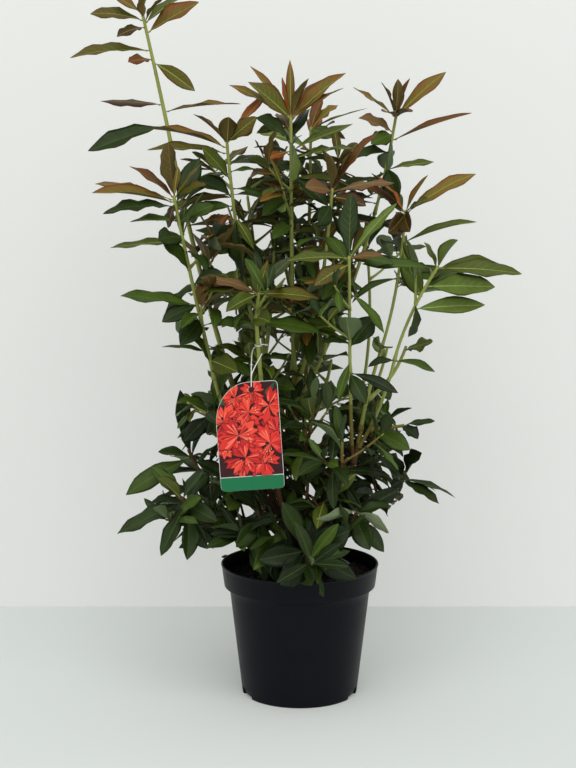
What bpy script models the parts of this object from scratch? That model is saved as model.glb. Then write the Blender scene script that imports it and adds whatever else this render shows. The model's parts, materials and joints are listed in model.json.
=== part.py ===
"""A rhododendron of the deciduous azalea kind, in leaf, in a black nursery pot with a picture tag.

Metres, +Z up. The origin is the centre of the pot's flat underside. +X is to the right and +Y is
away from the side that the plant is looked at.
"""

import math
import random
from collections import namedtuple

import bmesh
import bpy
from mathutils import Matrix, Vector
from mathutils.bvhtree import BVHTree

COLLECTION = "potted_rhododendron"
GAP = 0.0003  # kept between two pieces that touch
SQUARE_END = 0.002  # the last stretch of a limb, which squares its end to its direction
WELD = 0.000001
UP = Vector((0.0, 0.0, 1.0))
SHARP_ANGLE = 35  # degrees, over which an edge stays crisp

Limb = namedtuple("Limb", "name parent where tip sweep foot_radius tip_radius")
Spray = namedtuple("Spray", "name parent where tip leaves twigs bearing length")

# Pot: a moulded container with a deep collar, a step under it and a tapering wall
POT_HEIGHT = 0.207
RIM_RADIUS = 0.1235
COLLAR_FOOT_RADIUS = 0.1135
WALL_TOP_RADIUS = 0.1057
BASE_RADIUS = 0.0886
COLLAR_HEIGHT = 0.034
STEP_HEIGHT = 0.006
LIP = 0.0014
POT_WALL = 0.0016
POT_FLOOR = 0.0022
POT_SIDES = 40
NOTCH_ANGLES = (-156, -24, 24, 156)  # degrees round the foot from +X
NOTCH_HEIGHT = 0.012
NOTCH_WIDTH = 0.033
NOTCH_DEPTH = 0.011
TAB_SIZE = (0.010, 0.014, 0.0022)
TAB_DROP = 0.002

# Peat: level round the trunk and a little lower at the wall
SOIL_TOP = 0.190
SOIL_EDGE = 0.186
SOIL_LEVEL_RADIUS = 0.045

# Trunk: a short stool with a root flare
TRUNK_HEIGHT = 0.056
TRUNK_RADIUS = 0.0150
TRUNK_TOP_RADIUS = 0.0125
TRUNK_DOME = 0.010  # how far its top's edge lies under the middle
TRUNK_DOME_SHARES = (0.45, 0.8, 1.0)
TRUNK_SIDES = 20
FLARE_RADIUS = 0.0235
FLARE_HEIGHTS = (0.55, 0.32, 0.16, 0.0)  # shares of its height
ROOT_LOBES = 5
ROOT_LOBE_DEPTH = 0.16
TRUNK_LEAN = Vector((-0.003, 0.003, 0.0))

# Limbs: name, what it grows from, where along that (0 foot, 1 tip), its tip, how far its foot
# sets off sideways before it turns up (0 straight, 1 flat out), foot and tip radius
LIMBS = (
    ("bough_centre", "trunk", 0.90, (-0.009, 0.000, 0.511), 0.10, 0.0048, 0.0040),
    ("bough_right", "trunk", 0.66, (0.092, -0.050, 0.425), 0.55, 0.0048, 0.0042),
    ("bough_left_tall", "trunk", 0.66, (-0.199, 0.064, 0.850), 0.24, 0.0050, 0.0032),
    ("bough_front", "trunk", 0.62, (-0.064, -0.128, 0.592), 0.50, 0.0044, 0.0030),
    ("bough_back_left", "trunk", 0.62, (-0.060, 0.125, 0.560), 0.42, 0.0046, 0.0034),
    ("bough_back_right", "trunk", 0.66, (0.105, 0.115, 0.480), 0.45, 0.0046, 0.0034),
    ("bough_left", "bough_left_tall", 0.10, (-0.128, -0.068, 0.505), 0.35, 0.0040, 0.0032),
    ("bough_back", "bough_centre", 0.16, (0.014, 0.105, 0.640), 0.45, 0.0040, 0.0030),
    ("bough_middle_left", "bough_centre", 0.62, (-0.078, 0.004, 0.612), 0.30, 0.0038, 0.0030),
    ("bough_upper_right", "bough_centre", 0.80, (0.116, 0.050, 0.748), 0.22, 0.0036, 0.0030),
    ("bough_right_inner", "bough_right", 1.00, (0.123, -0.030, 0.545), 0.10, 0.0040, 0.0032),
    ("bough_right_outer", "bough_right", 0.90, (0.140, -0.082, 0.535), 0.28, 0.0036, 0.0030),
    ("bough_right_front", "bough_right", 0.80, (0.073, -0.108, 0.520), 0.35, 0.0034, 0.0028),
)

# Sprays, the masses of foliage: name, limb, where along it, tip, leaves up the stem, side twigs,
# bearing of the first leaf (degrees from +X), length of a full leaf
SPRAYS = (
    ("spray_left_tall", "bough_left_tall", 1.0, (-0.247, 0.070, 1.074), 15, 0, 205, 0.116),
    ("spray_centre", "bough_centre", 1.0, (-0.014, 0.000, 0.895), 19, 1, 170, 0.104),
    ("spray_upper_right", "bough_upper_right", 1.0, (0.149, 0.060, 0.900), 15, 0, 20, 0.104),
    ("spray_left", "bough_left", 1.0, (-0.186, -0.080, 0.778), 18, 0, 160, 0.118),
    ("spray_right_inner", "bough_right_inner", 1.0, (0.160, 0.000, 0.755), 16, 0, 10, 0.108),
    ("spray_right_outer", "bough_right_outer", 1.0, (0.200, -0.110, 0.676), 16, 0, 352, 0.122),
    ("spray_right_front", "bough_right_front", 1.0, (0.070, -0.130, 0.692), 14, 0, 190, 0.096),
    ("spray_middle_left", "bough_middle_left", 1.0, (-0.111, 0.000, 0.860), 15, 0, 185, 0.104),
    ("spray_front", "bough_front", 1.0, (-0.060, -0.130, 0.641), 9, 0, 175, 0.096),
    ("spray_inner_right", "bough_centre", 0.90, (0.048, -0.030, 0.788), 13, 1, 30, 0.096),
    ("spray_high_back", "bough_back", 1.0, (0.018, 0.125, 0.884), 13, 1, 15, 0.096),
    ("spray_mid_back", "bough_back", 0.80, (-0.040, 0.175, 0.785), 12, 0, 150, 0.098),
    ("spray_back_left_high", "bough_back_left", 1.0, (-0.084, 0.150, 0.775), 13, 1, 160, 0.098),
    ("spray_low_left_front", "trunk", 0.50, (-0.180, -0.080, 0.326), 15, 1, 200, 0.104),
    ("spray_low_left", "trunk", 0.62, (-0.174, 0.010, 0.384), 13, 1, 170, 0.098),
    ("spray_low_front", "trunk", 0.42, (0.008, -0.140, 0.264), 13, 0, 270, 0.096),
    ("spray_low_right", "bough_right", 0.42, (0.162, 0.005, 0.340), 13, 1, 0, 0.096),
    ("spray_low_right_front", "trunk", 0.46, (0.085, -0.095, 0.310), 13, 0, 320, 0.092),
    ("spray_mid_right", "bough_right", 0.70, (0.132, 0.030, 0.425), 12, 0, 10, 0.088),
    ("spray_inner_front", "bough_centre", 0.45, (0.020, -0.085, 0.470), 13, 0, 300, 0.092),
    ("spray_inner_low", "trunk", 0.66, (0.012, -0.075, 0.360), 13, 0, 260, 0.092),
    ("spray_inner_left", "bough_middle_left", 0.35, (-0.070, -0.060, 0.560), 11, 0, 200, 0.090),
    ("spray_under_tag", "trunk", 0.36, (-0.064, -0.105, 0.312), 14, 0, 230, 0.096),
    ("spray_behind_tag", "bough_left", 0.45, (-0.110, -0.030, 0.430), 12, 0, 150, 0.090),
    ("spray_inner_back", "bough_back", 0.42, (0.050, 0.055, 0.520), 12, 1, 60, 0.090),
    ("spray_centre_left", "bough_middle_left", 0.62, (-0.040, 0.055, 0.690), 13, 0, 100, 0.096),
    ("spray_centre_right", "bough_upper_right", 0.30, (0.046, -0.030, 0.640), 13, 0, 240, 0.094),
    ("spray_right_low", "bough_right_inner", 0.40, (0.165, 0.020, 0.545), 12, 0, 20, 0.092),
    ("spray_left_low", "bough_left", 0.72, (-0.165, -0.020, 0.500), 12, 0, 190, 0.094),
    ("spray_right_side", "bough_right_outer", 0.25, (0.190, -0.050, 0.440), 12, 0, 340, 0.090),
    ("spray_inner_right_low", "bough_right", 0.55, (0.062, -0.100, 0.415), 12, 0, 290, 0.090),
    ("spray_foot_right", "trunk", 0.40, (0.100, 0.010, 0.285), 12, 0, 10, 0.090),
    ("spray_back_left", "bough_back_left", 0.78, (-0.095, 0.235, 0.640), 13, 1, 120, 0.098),
    ("spray_back_left_low", "bough_back_left", 0.45, (-0.150, 0.140, 0.450), 13, 1, 140, 0.094),
    ("spray_back_middle", "bough_back_left", 0.30, (-0.020, 0.200, 0.440), 13, 0, 90, 0.094),
    ("spray_back_far", "bough_back", 0.58, (0.020, 0.265, 0.600), 14, 1, 80, 0.100),
    ("spray_back_right_high", "bough_back_right", 1.0, (0.110, 0.175, 0.700), 14, 1, 40, 0.100),
    ("spray_back_right", "bough_back_right", 0.80, (0.150, 0.235, 0.520), 13, 1, 60, 0.096),
    ("spray_back_right_low", "bough_back_right", 0.50, (0.185, 0.120, 0.400), 12, 1, 30, 0.092),
    ("spray_low_back", "trunk", 0.60, (0.040, 0.175, 0.350), 13, 1, 80, 0.092),
    ("spray_low_back_left", "trunk", 0.52, (-0.090, 0.150, 0.300), 13, 0, 120, 0.094),
)

YOUNG_ABOVE = 0.62  # height of a spray's tip over which its leaves are this year's bronze ones

STEM_RADIUS = 0.0034
STEM_TIP_RADIUS = 0.0023
STEM_SWEEP = 0.45
BEND_AT = 0.45  # share of the way along a limb that runs on from another
UPRIGHT = 0.8  # how much leaves turn round the vertical rather than their stem
STEM_STEP = 0.045
LIMB_STEP = 0.060
FOOT_OFFSET = 0.45  # of the radius of what a limb grows from
TWIG_RADIUS = 0.0028
TWIG_LENGTH = 0.070
TWIG_LENGTH_RANGE = (0.8, 1.15)
TWIG_FIRST = 0.30
TWIG_SPACING = 0.35
TWIG_SHIFT = 0.15
TWIG_LIFT = 38
TWIG_LEAVES = 5
TWIG_LEAF_LENGTH = 0.85  # of its spray's

# Where leaves sit on a stem, counted from its tip: a close whorl, then a spiral down the stem
WHORL = 6
WHORL_STEP = 0.0042
LEAF_STEP = 0.019
SPIRAL = 144.0
BARE_FOOT = 0.018
WHORL_RULE = (  # up to which place, share of a full length, degrees over the level, droop
    (1, 0.60, 72, 0.04),
    (2, 0.78, 56, 0.08),
    (4, 0.94, 34, 0.12),
    (6, 1.02, 14, 0.17),
)
LOWER_SHORTER = 0.18
LOWER_LIFT = 14
LOWER_FALL = 34
LOWER_DROOP = 0.16

# How far chance moves each of them
SIZE_RANGE = (0.88, 1.10)
LIFT_RANGE = (-11, 11)
LOWER_LIFT_RANGE = (-12, 12)
DROOP_RANGE = (-0.03, 0.05)
FOLD_RANGE = (0.18, 0.42)
BEARING_RANGE = (-13, 13)
ROLL_RANGE = (-34, 34)
STEP_RANGE = (0.75, 1.25)
WIDTH_RANGE = (0.9, 1.1)
TURN_ASIDE = (18, 40)
LIFT_ASIDE = (-18, 14)

# Leaf shape, in shares of its length
LEAF_WIDTH = 0.41
LEAF_WIDEST = 0.55
LEAF_MIDDLE = 0.42
LEAF_THICK = 1 / 55
LEAF_SUNK = 0.0012  # metres past the middle of its stem
TEST_MARGIN = 0.0007  # kept clear round a leaf
LEAF_TRIES = 4
TRY_SHORTER = 0.92
OUTER_SHARE = 0.32  # of a leaf, clear of the other leaves on its stem

# Tag: a thin card with one large round corner, and the tie that hangs it on the front bough
TAG_WIDTH = 0.093
TAG_HEIGHT = 0.159
TAG_THICK = 0.0008
TAG_ROUND_WIDTH = 0.050
TAG_ROUND_HEIGHT = 0.060
TAG_CORNER = 0.006
TAG_CORNER_STEPS = 3
TAG_ROUND_STEPS = 9
TAG_HOLE_SIDES = 12
TAG_HOLE = Vector((-0.0715, -0.1500, 0.5010))
TAG_HOLE_RADIUS = 0.0026
TAG_HOLE_FROM_TOP = 0.0115
TAG_HOLE_FROM_RIGHT = 0.0385
TAG_TILT = 3.9
TAG_VIEW_DEPTH = 0.20  # left open in front of the card
TIE_RADIUS = 0.0008
TIE_HEIGHT = 0.563
TIE_TURNS = 1.5
TIE_PITCH = 0.0032
TIE_SIDES = 9  # points a turn
TIE_FIRST = -60
TIE_FREE_END = Vector((0.012, -0.006, -0.001))
TIE_BESIDE = 0.006


def clear_scene():
    for old in list(bpy.data.objects):
        bpy.data.objects.remove(old, do_unlink=True)


def new_collection(name):
    group = bpy.data.collections.new(name)
    bpy.context.scene.collection.children.link(group)
    return group


def plain_material(name, colour, roughness):
    material = bpy.data.materials.new(name)
    material.use_nodes = True
    shader = material.node_tree.nodes["Principled BSDF"]
    shader.inputs["Base Color"].default_value = (*colour, 1.0)
    shader.inputs["Roughness"].default_value = roughness
    shader.inputs["Metallic"].default_value = 0.0
    return material


def add_object(name, mesh, group, material=None):
    piece = bpy.data.objects.new(name, mesh)
    group.objects.link(piece)
    if material:
        mesh.materials.clear()
        mesh.materials.append(material)
    return piece


def evaluated_mesh(piece, name, weld=True):
    """The piece as its modifiers leave it, in world space, with the seams of its caps welded."""
    view = bpy.context.evaluated_depsgraph_get()
    mesh = bpy.data.meshes.new_from_object(piece.evaluated_get(view))
    mesh.name = name
    mesh.transform(piece.matrix_world)
    shape = bmesh.new()
    shape.from_mesh(mesh)
    if weld:
        bmesh.ops.remove_doubles(shape, verts=shape.verts, dist=WELD)
    bmesh.ops.triangulate(shape, faces=shape.faces)
    shape.to_mesh(mesh)
    shape.free()
    return mesh


def settle(piece, weld=True):
    """Apply the piece's modifiers."""
    mesh = evaluated_mesh(piece, piece.name, weld)
    piece.modifiers.clear()
    piece.data = mesh
    piece.matrix_world = Matrix.Identity(4)


def turned(name, profile, group, sides=POT_SIDES):
    """A solid turned round Z from (radius, height) points that end down its outer side."""
    mesh = bpy.data.meshes.new(name)
    points = [(radius, 0.0, height) for radius, height in profile]
    mesh.from_pydata(points, [(i, i + 1) for i in range(len(points) - 1)], [])
    piece = add_object(name, mesh, group)
    screw = piece.modifiers.new("turn", "SCREW")
    screw.axis = "Z"
    screw.steps = sides
    screw.render_steps = sides
    screw.use_merge_vertices = True
    screw.merge_threshold = 0.00001
    settle(piece)
    return piece


def outline_curve(name, corners, group):
    """A flat closed outline through corners."""
    data = bpy.data.curves.new(name, "CURVE")
    data.dimensions = "2D"
    data.fill_mode = "NONE"
    line = data.splines.new("POLY")
    line.points.add(len(corners) - 1)
    line.use_cyclic_u = True
    for knot, (x, y) in zip(line.points, corners):
        knot.co = (x, y, 0.0, 1.0)
    return add_object(name, data, group)


def tube(name, points, radii, group, sides=6):
    """A limb along points with a radius at each, as a bevelled curve made a mesh."""
    turn = -2 * math.pi / sides
    corners = [(math.cos(i * turn), math.sin(i * turn)) for i in range(sides)]
    section = outline_curve(name + "_section", corners, group)
    data = bpy.data.curves.new(name, "CURVE")
    data.dimensions = "3D"
    data.bevel_mode = "OBJECT"
    data.bevel_object = section
    data.use_fill_caps = True
    line = data.splines.new("POLY")
    line.points.add(len(points) - 1)
    for knot, point, radius in zip(line.points, points, radii):
        knot.co = (*point, 1.0)
        knot.radius = radius
    curve = add_object(name + "_line", data, group)
    mesh = evaluated_mesh(curve, name)
    bpy.data.objects.remove(curve, do_unlink=True)
    bpy.data.objects.remove(section, do_unlink=True)
    return add_object(name, mesh, group)


def combine(piece, others, operation):
    """Join others to the piece, or cut them out of it, and remove them."""
    tools = new_collection(piece.name + "_tools")
    for other in others:
        for group in list(other.users_collection):
            group.objects.unlink(other)
        tools.objects.link(other)
    before = piece.data
    for solver in ("EXACT", "MANIFOLD"):
        piece.data = before.copy()
        change = piece.modifiers.new("combine", "BOOLEAN")
        change.operation = operation
        change.operand_type = "COLLECTION"
        change.collection = tools
        change.solver = solver
        settle(piece, weld=False)
        keep_largest(piece.data)
        if is_closed(piece.data):
            break
    for other in others:
        bpy.data.objects.remove(other, do_unlink=True)
    bpy.data.collections.remove(tools)


def is_closed(mesh):
    shape = bmesh.new()
    shape.from_mesh(mesh)
    closed = len(shape.faces) > 0 and all(edge.is_manifold for edge in shape.edges)
    shape.free()
    return closed


def keep_largest(mesh):
    """Drop loose scraps and the walls of sealed hollows."""
    shape = bmesh.new()
    shape.from_mesh(mesh)
    waiting = set(shape.faces)
    bodies = []
    while waiting:
        reached = [waiting.pop()]
        body = []
        while reached:
            face = reached.pop()
            body.append(face)
            for edge in face.edges:
                for other in edge.link_faces:
                    if other in waiting:
                        waiting.remove(other)
                        reached.append(other)
        bodies.append(body)
    bodies.sort(key=enclosed_volume)
    for body in bodies[:-1]:
        bmesh.ops.delete(shape, geom=body, context="FACES")
    shape.to_mesh(mesh)
    shape.free()


def enclosed_volume(body):
    total = 0.0
    for face in body:
        a, b, c = (corner.co for corner in face.verts)
        total += a.dot(b.cross(c)) / 6
    return total


def corners_and_faces(mesh):
    corners = [corner.co.copy() for corner in mesh.vertices]
    return corners, [tuple(face.vertices) for face in mesh.polygons]


class Filled:
    """The space that is already taken, as named bodies that a new one can be tested against."""

    def __init__(self):
        self.bodies = []

    def add(self, owner, corners, faces):
        low = Vector([min(c[i] for c in corners) for i in range(3)])
        high = Vector([max(c[i] for c in corners) for i in range(3)])
        self.bodies.append((owner, low, high, BVHTree.FromPolygons(corners, faces)))

    def touched_by(self, corners, faces, leave_out=None, only=None):
        low = [min(c[i] for c in corners) for i in range(3)]
        high = [max(c[i] for c in corners) for i in range(3)]
        tree = None
        for owner, their_low, their_high, theirs in self.bodies:
            if owner == leave_out or (only and owner != only):
                continue
            if any(low[i] > their_high[i] or high[i] < their_low[i] for i in range(3)):
                continue
            tree = tree or BVHTree.FromPolygons(corners, faces)
            if tree.overlap(theirs):
                return True
        return False


class Path:
    """A limb's centre line: it sets off from its foot, bends once and runs to its tip."""

    def __init__(self, foot, bend, tip, foot_radius, tip_radius):
        self.foot = foot
        self.bend = bend
        self.tip = tip
        self.foot_radius = foot_radius
        self.tip_radius = tip_radius
        self.length = (bend - foot).length / 2 + (tip - bend).length / 2 + (tip - foot).length / 2

    def at(self, share):
        rest = 1 - share
        return self.foot * rest * rest + self.bend * 2 * share * rest + self.tip * share * share

    def heading(self, share):
        return ((self.bend - self.foot) * (1 - share) + (self.tip - self.bend) * share).normalized()

    def radius(self, share):
        return self.foot_radius + (self.tip_radius - self.foot_radius) * share

    def points(self, step):
        """Points and radii along the path, with square ends."""
        count = max(2, round(self.length / step))
        shares = [SQUARE_END / self.length] + [i / count for i in range(1, count)]
        shares = [0.0] + shares + [1 - SQUARE_END / self.length, 1.0]
        return [self.at(s) for s in shares], [self.radius(s) for s in shares]


def rising_path(parent, where, tip, sweep, foot_radius, tip_radius):
    """A path that leaves its parent more sideways than its chord, by sweep, and then turns up."""
    foot = parent.at(where)
    along = parent.heading(where)
    outward = tip - foot
    outward -= along * outward.dot(along)
    foot = foot + outward.normalized() * parent.radius(where) * FOOT_OFFSET
    reach = tip - foot
    bend = foot + reach / 2
    bend.x += reach.x * sweep / 2
    bend.y += reach.y * sweep / 2
    bend.z -= abs(reach.z) * sweep / 3
    return Path(foot, bend, tip, foot_radius, tip_radius)


def continuing_path(parent, tip, tip_radius):
    """A path that runs on from the parent's tip in the parent's direction."""
    heading = parent.heading(1.0)
    foot = parent.tip + heading * GAP
    bend = foot + heading * (tip - foot).length * BEND_AT
    return Path(foot, bend, tip, parent.tip_radius, tip_radius)


def build_pot(group, material):
    """The container: a turned wall and floor, drainage notches in its foot and a pull tab."""
    collar_foot = POT_HEIGHT - COLLAR_HEIGHT
    wall_top = collar_foot - STEP_HEIGHT
    outer = [
        (RIM_RADIUS - LIP, POT_HEIGHT),
        (RIM_RADIUS, POT_HEIGHT - LIP),
        (RIM_RADIUS, POT_HEIGHT - 3 * LIP),
        (RIM_RADIUS - LIP, POT_HEIGHT - 4 * LIP),
        (COLLAR_FOOT_RADIUS, collar_foot),
        (WALL_TOP_RADIUS, wall_top),
        (BASE_RADIUS, LIP),
        (BASE_RADIUS - LIP, 0.0),
        (0.0, 0.0),
    ]
    inner = [
        (0.0, POT_FLOOR),
        (BASE_RADIUS - POT_WALL, POT_FLOOR),
        (WALL_TOP_RADIUS - POT_WALL, wall_top),
        (COLLAR_FOOT_RADIUS - POT_WALL, collar_foot),
        (RIM_RADIUS - LIP - POT_WALL, POT_HEIGHT),
    ]
    pot = turned("pot", inner + outer, group)
    notches = []
    for angle in NOTCH_ANGLES:
        bpy.ops.mesh.primitive_cube_add(size=1.0)
        notch = bpy.context.object
        turn = Matrix.Rotation(math.radians(angle), 4, "Z")
        middle = Vector((BASE_RADIUS, 0.0, 0.0))
        size = Matrix.Diagonal((2 * NOTCH_DEPTH, NOTCH_WIDTH, 2 * NOTCH_HEIGHT, 1.0))
        notch.data.transform(turn @ Matrix.Translation(middle) @ size)
        notches.append(notch)
    combine(pot, notches, "DIFFERENCE")
    bpy.ops.mesh.primitive_cube_add(size=1.0)
    tab = bpy.context.object
    middle = Vector((-RIM_RADIUS - TAB_SIZE[0] / 2 + 2 * LIP, 0.0, POT_HEIGHT - TAB_DROP))
    tab.data.transform(Matrix.Translation(middle) @ Matrix.Diagonal((*TAB_SIZE, 1.0)))
    combine(pot, [tab], "UNION")
    pot.data.materials.append(material)
    return pot


def build_soil(group, material):
    """The peat that fills the pot, the gap clear of its inside."""
    collar_foot = POT_HEIGHT - COLLAR_HEIGHT
    wall_top = collar_foot - STEP_HEIGHT
    inset = POT_WALL + GAP
    lip_radius = RIM_RADIUS - LIP
    slope = (lip_radius - COLLAR_FOOT_RADIUS) / COLLAR_HEIGHT
    edge = COLLAR_FOOT_RADIUS + slope * (SOIL_EDGE - collar_foot)
    profile = [
        (0.0, SOIL_TOP),
        (SOIL_LEVEL_RADIUS, SOIL_TOP),
        (edge - inset, SOIL_EDGE),
        (COLLAR_FOOT_RADIUS - inset, collar_foot),
        (WALL_TOP_RADIUS - inset, wall_top),
        (BASE_RADIUS - inset, POT_FLOOR + GAP),
        (0.0, POT_FLOOR + GAP),
    ]
    soil = turned("soil", profile, group)
    soil.data.materials.append(material)
    return soil


def trunk_path():
    foot = Vector((0.0, 0.0, SOIL_TOP + GAP))
    tip = foot + Vector((0.0, 0.0, TRUNK_HEIGHT)) + TRUNK_LEAN
    return Path(foot, (foot + tip) / 2, tip, TRUNK_RADIUS, TRUNK_TOP_RADIUS)


def build_trunk(group, extra=0.0):
    """The stool, its foot spread into root lobes. With extra it is the same shape that much larger."""
    profile = [(0.0, TRUNK_HEIGHT + extra)]
    for share in TRUNK_DOME_SHARES:
        turn = share * math.pi / 2
        radius = TRUNK_TOP_RADIUS * math.sin(turn)
        height = TRUNK_HEIGHT - TRUNK_DOME * (1 - math.cos(turn))
        profile.append((radius + extra, height + extra))
    for share in FLARE_HEIGHTS:
        spread = (FLARE_RADIUS - TRUNK_RADIUS) * (1 - share) ** 4
        profile.append((TRUNK_RADIUS + spread + extra, TRUNK_HEIGHT * share))
    profile.append((0.0, 0.0))
    trunk = turned("trunk", profile, group, sides=TRUNK_SIDES)
    for corner in trunk.data.vertices:
        height = corner.co.z / TRUNK_HEIGHT
        angle = math.atan2(corner.co.y, corner.co.x)
        lobe = 1 + ROOT_LOBE_DEPTH * math.cos(ROOT_LOBES * angle) * max(0.0, 1 - height) ** 3
        corner.co.x = corner.co.x * lobe + TRUNK_LEAN.x * height
        corner.co.y = corner.co.y * lobe + TRUNK_LEAN.y * height
        corner.co.z += SOIL_TOP + GAP
    return trunk


def limb_cutter(name, parent, paths, group):
    """The parent's shape and the gap round it."""
    if parent == "trunk":
        cutter = build_trunk(group, extra=GAP)
        cutter.name = name
        return cutter
    points, radii = paths[parent].points(LIMB_STEP)
    points[-1] = points[-1] + paths[parent].heading(1.0) * GAP
    return tube(name, points, [radius + GAP for radius in radii], group)


def build_limbs(paths, group, material):
    for limb in map(Limb._make, LIMBS):
        parent = paths[limb.parent]
        tip = Vector(limb.tip)
        if limb.where == 1.0:
            path = continuing_path(parent, tip, limb.tip_radius)
        else:
            path = rising_path(
                parent, limb.where, tip, limb.sweep, limb.foot_radius, limb.tip_radius
            )
        paths[limb.name] = path
        points, radii = path.points(LIMB_STEP)
        bough = tube(limb.name, points, radii, group)
        if limb.where < 1.0:
            cutter = limb_cutter(limb.name + "_foot", limb.parent, paths, group)
            combine(bough, [cutter], "DIFFERENCE")
        bough.data.materials.append(material)


def leaf_body(length, width, fold, droop, thick, begin=0.0):
    """Corners and faces of one leaf along +X, its upper side to +Z: it folds up from its midrib
    and its tip bends down. It begins at a share of its length."""
    widest = length * LEAF_WIDEST
    middle = length * LEAF_MIDDLE
    start = length * begin

    def sag(x):
        return -droop * length * (x / length) ** 2

    rise = fold * width / 2
    corners = [
        Vector((start, 0.0, sag(start))),
        Vector((widest, width / 2, sag(widest) + rise)),
        Vector((widest, -width / 2, sag(widest) + rise)),
        Vector((middle, 0.0, sag(middle) + thick / 2)),
        Vector((middle, 0.0, sag(middle) - thick / 2)),
        Vector((length, 0.0, sag(length))),
    ]
    upper = [(0, 2, 3), (0, 3, 1), (2, 5, 3), (3, 5, 1)]
    lower = [(0, 4, 2), (0, 1, 4), (2, 4, 5), (4, 1, 5)]
    return corners, upper + lower


def leaf_frame(root, along, bearing, elevation, roll):
    """Where a leaf sits: at root on a stem that heads along, turned to a bearing and lifted."""
    axis = (along + UP * UPRIGHT).normalized()
    side = Vector((1.0, 0.0, 0.0))
    side = (side - axis * side.dot(axis)).normalized()
    other = axis.cross(side)
    out = side * math.cos(bearing) + other * math.sin(bearing)
    heading = out * math.cos(elevation) + axis * math.sin(elevation)
    face = (axis - heading * axis.dot(heading)).normalized()
    across = face.cross(heading)
    frame = Matrix((heading, across, face)).transposed().to_4x4()
    sunk = Matrix.Translation((-LEAF_SUNK, 0.0, 0.0))
    return Matrix.Translation(root) @ frame @ Matrix.Rotation(roll, 4, "X") @ sunk


def leaf_rule(place, count, rng):
    """Length share, elevation, droop and fold of the leaf at a place down the stem."""
    if place < WHORL:
        size, lift, droop = next(rule[1:] for rule in WHORL_RULE if place < rule[0])
    else:
        low = (place - WHORL) / max(1, count - WHORL)
        size = 1 - LOWER_SHORTER * low
        lift = LOWER_LIFT - LOWER_FALL * low + rng.uniform(*LOWER_LIFT_RANGE)
        droop = LOWER_DROOP
    size *= rng.uniform(*SIZE_RANGE)
    lift += rng.uniform(*LIFT_RANGE)
    droop += rng.uniform(*DROOP_RANGE)
    return size, math.radians(lift), droop, rng.uniform(*FOLD_RANGE)


def grow_leaves(owner, path, count, bearing, full_length, foot_room, filled, rng):
    """Leaves down one stem from its tip, on a spiral. One that would touch anything turns aside a
    little, and is skipped if that doesn't clear it."""
    leaves = []
    down = 0.0
    for place in range(count):
        size, lift, droop, fold = leaf_rule(place, count, rng)
        turn = math.radians(bearing + SPIRAL * place + rng.uniform(*BEARING_RANGE))
        roll = math.radians(rng.uniform(*ROLL_RANGE))
        if place:
            down += WHORL_STEP if place < WHORL else LEAF_STEP * rng.uniform(*STEP_RANGE)
        share = 1 - (down + STEM_TIP_RADIUS) / path.length
        if share * path.length < foot_room:
            break
        length = full_length * size
        width = length * LEAF_WIDTH * rng.uniform(*WIDTH_RANGE)
        for _ in range(LEAF_TRIES):
            frame = leaf_frame(path.at(share), path.heading(share), turn, lift, roll)
            shape = (length, width, fold, droop, length * LEAF_THICK)
            if leaf_is_clear(owner, frame, shape, filled):
                corners, faces = leaf_body(*shape)
                corners = [frame @ corner for corner in corners]
                filled.add(owner, corners, faces)
                leaves.append((corners, faces))
                break
            turn += math.radians(rng.choice((-1, 1)) * rng.uniform(*TURN_ASIDE))
            lift += math.radians(rng.uniform(*LIFT_ASIDE))
            length *= TRY_SHORTER
    return leaves


def leaf_is_clear(owner, frame, shape, filled):
    """Whether the leaf keeps clear of every other piece, and its outer part of its own stem's."""
    length, width, fold, droop, thick = shape
    room = TEST_MARGIN
    grown = (length + room, width + 2 * room, fold, droop, thick + 2 * room)
    corners, faces = leaf_body(*grown)
    if filled.touched_by([frame @ c for c in corners], faces, leave_out=owner):
        return False
    corners, faces = leaf_body(*grown, begin=OUTER_SHARE)
    return not filled.touched_by([frame @ c for c in corners], faces, only=owner)


def twig_cone(name, path, group):
    """A straight three-sided twig along the path's chord."""
    mesh = bpy.data.meshes.new(name)
    shape = bmesh.new()
    chord = path.tip - path.foot
    bmesh.ops.create_cone(
        shape,
        cap_ends=True,
        cap_tris=True,
        segments=3,
        radius1=path.foot_radius,
        radius2=path.tip_radius,
        depth=chord.length,
    )
    turn = UP.rotation_difference(chord.normalized()).to_matrix().to_4x4()
    shape.transform(Matrix.Translation((path.foot + path.tip) / 2) @ turn)
    bmesh.ops.triangulate(shape, faces=shape.faces)
    shape.to_mesh(mesh)
    shape.free()
    return add_object(name, mesh, group)


def grow_twigs(owner, stem, count, filled, rng, group):
    """Side twigs off a stem by a seeded rule. One that would touch another piece is skipped."""
    twigs = []
    for place in range(count):
        share = TWIG_FIRST + TWIG_SPACING * place / count + rng.uniform(0.0, TWIG_SHIFT)
        bearing = math.radians(rng.uniform(0, 360))
        foot = stem.at(share)
        heading = stem.heading(share)
        frame = leaf_frame(foot, heading, bearing, math.radians(TWIG_LIFT), 0.0)
        tip = frame @ Vector((TWIG_LENGTH * rng.uniform(*TWIG_LENGTH_RANGE), 0.0, 0.0))
        path = Path(foot, (foot + tip) / 2, tip, TWIG_RADIUS, STEM_TIP_RADIUS)
        twig = twig_cone(f"{owner}_twig_{place}", path, group)
        corners, faces = corners_and_faces(twig.data)
        if filled.touched_by(corners, faces, leave_out=owner):
            bpy.data.objects.remove(twig, do_unlink=True)
            continue
        filled.add(owner, corners, faces)
        twigs.append((path, twig))
    return twigs


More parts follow.
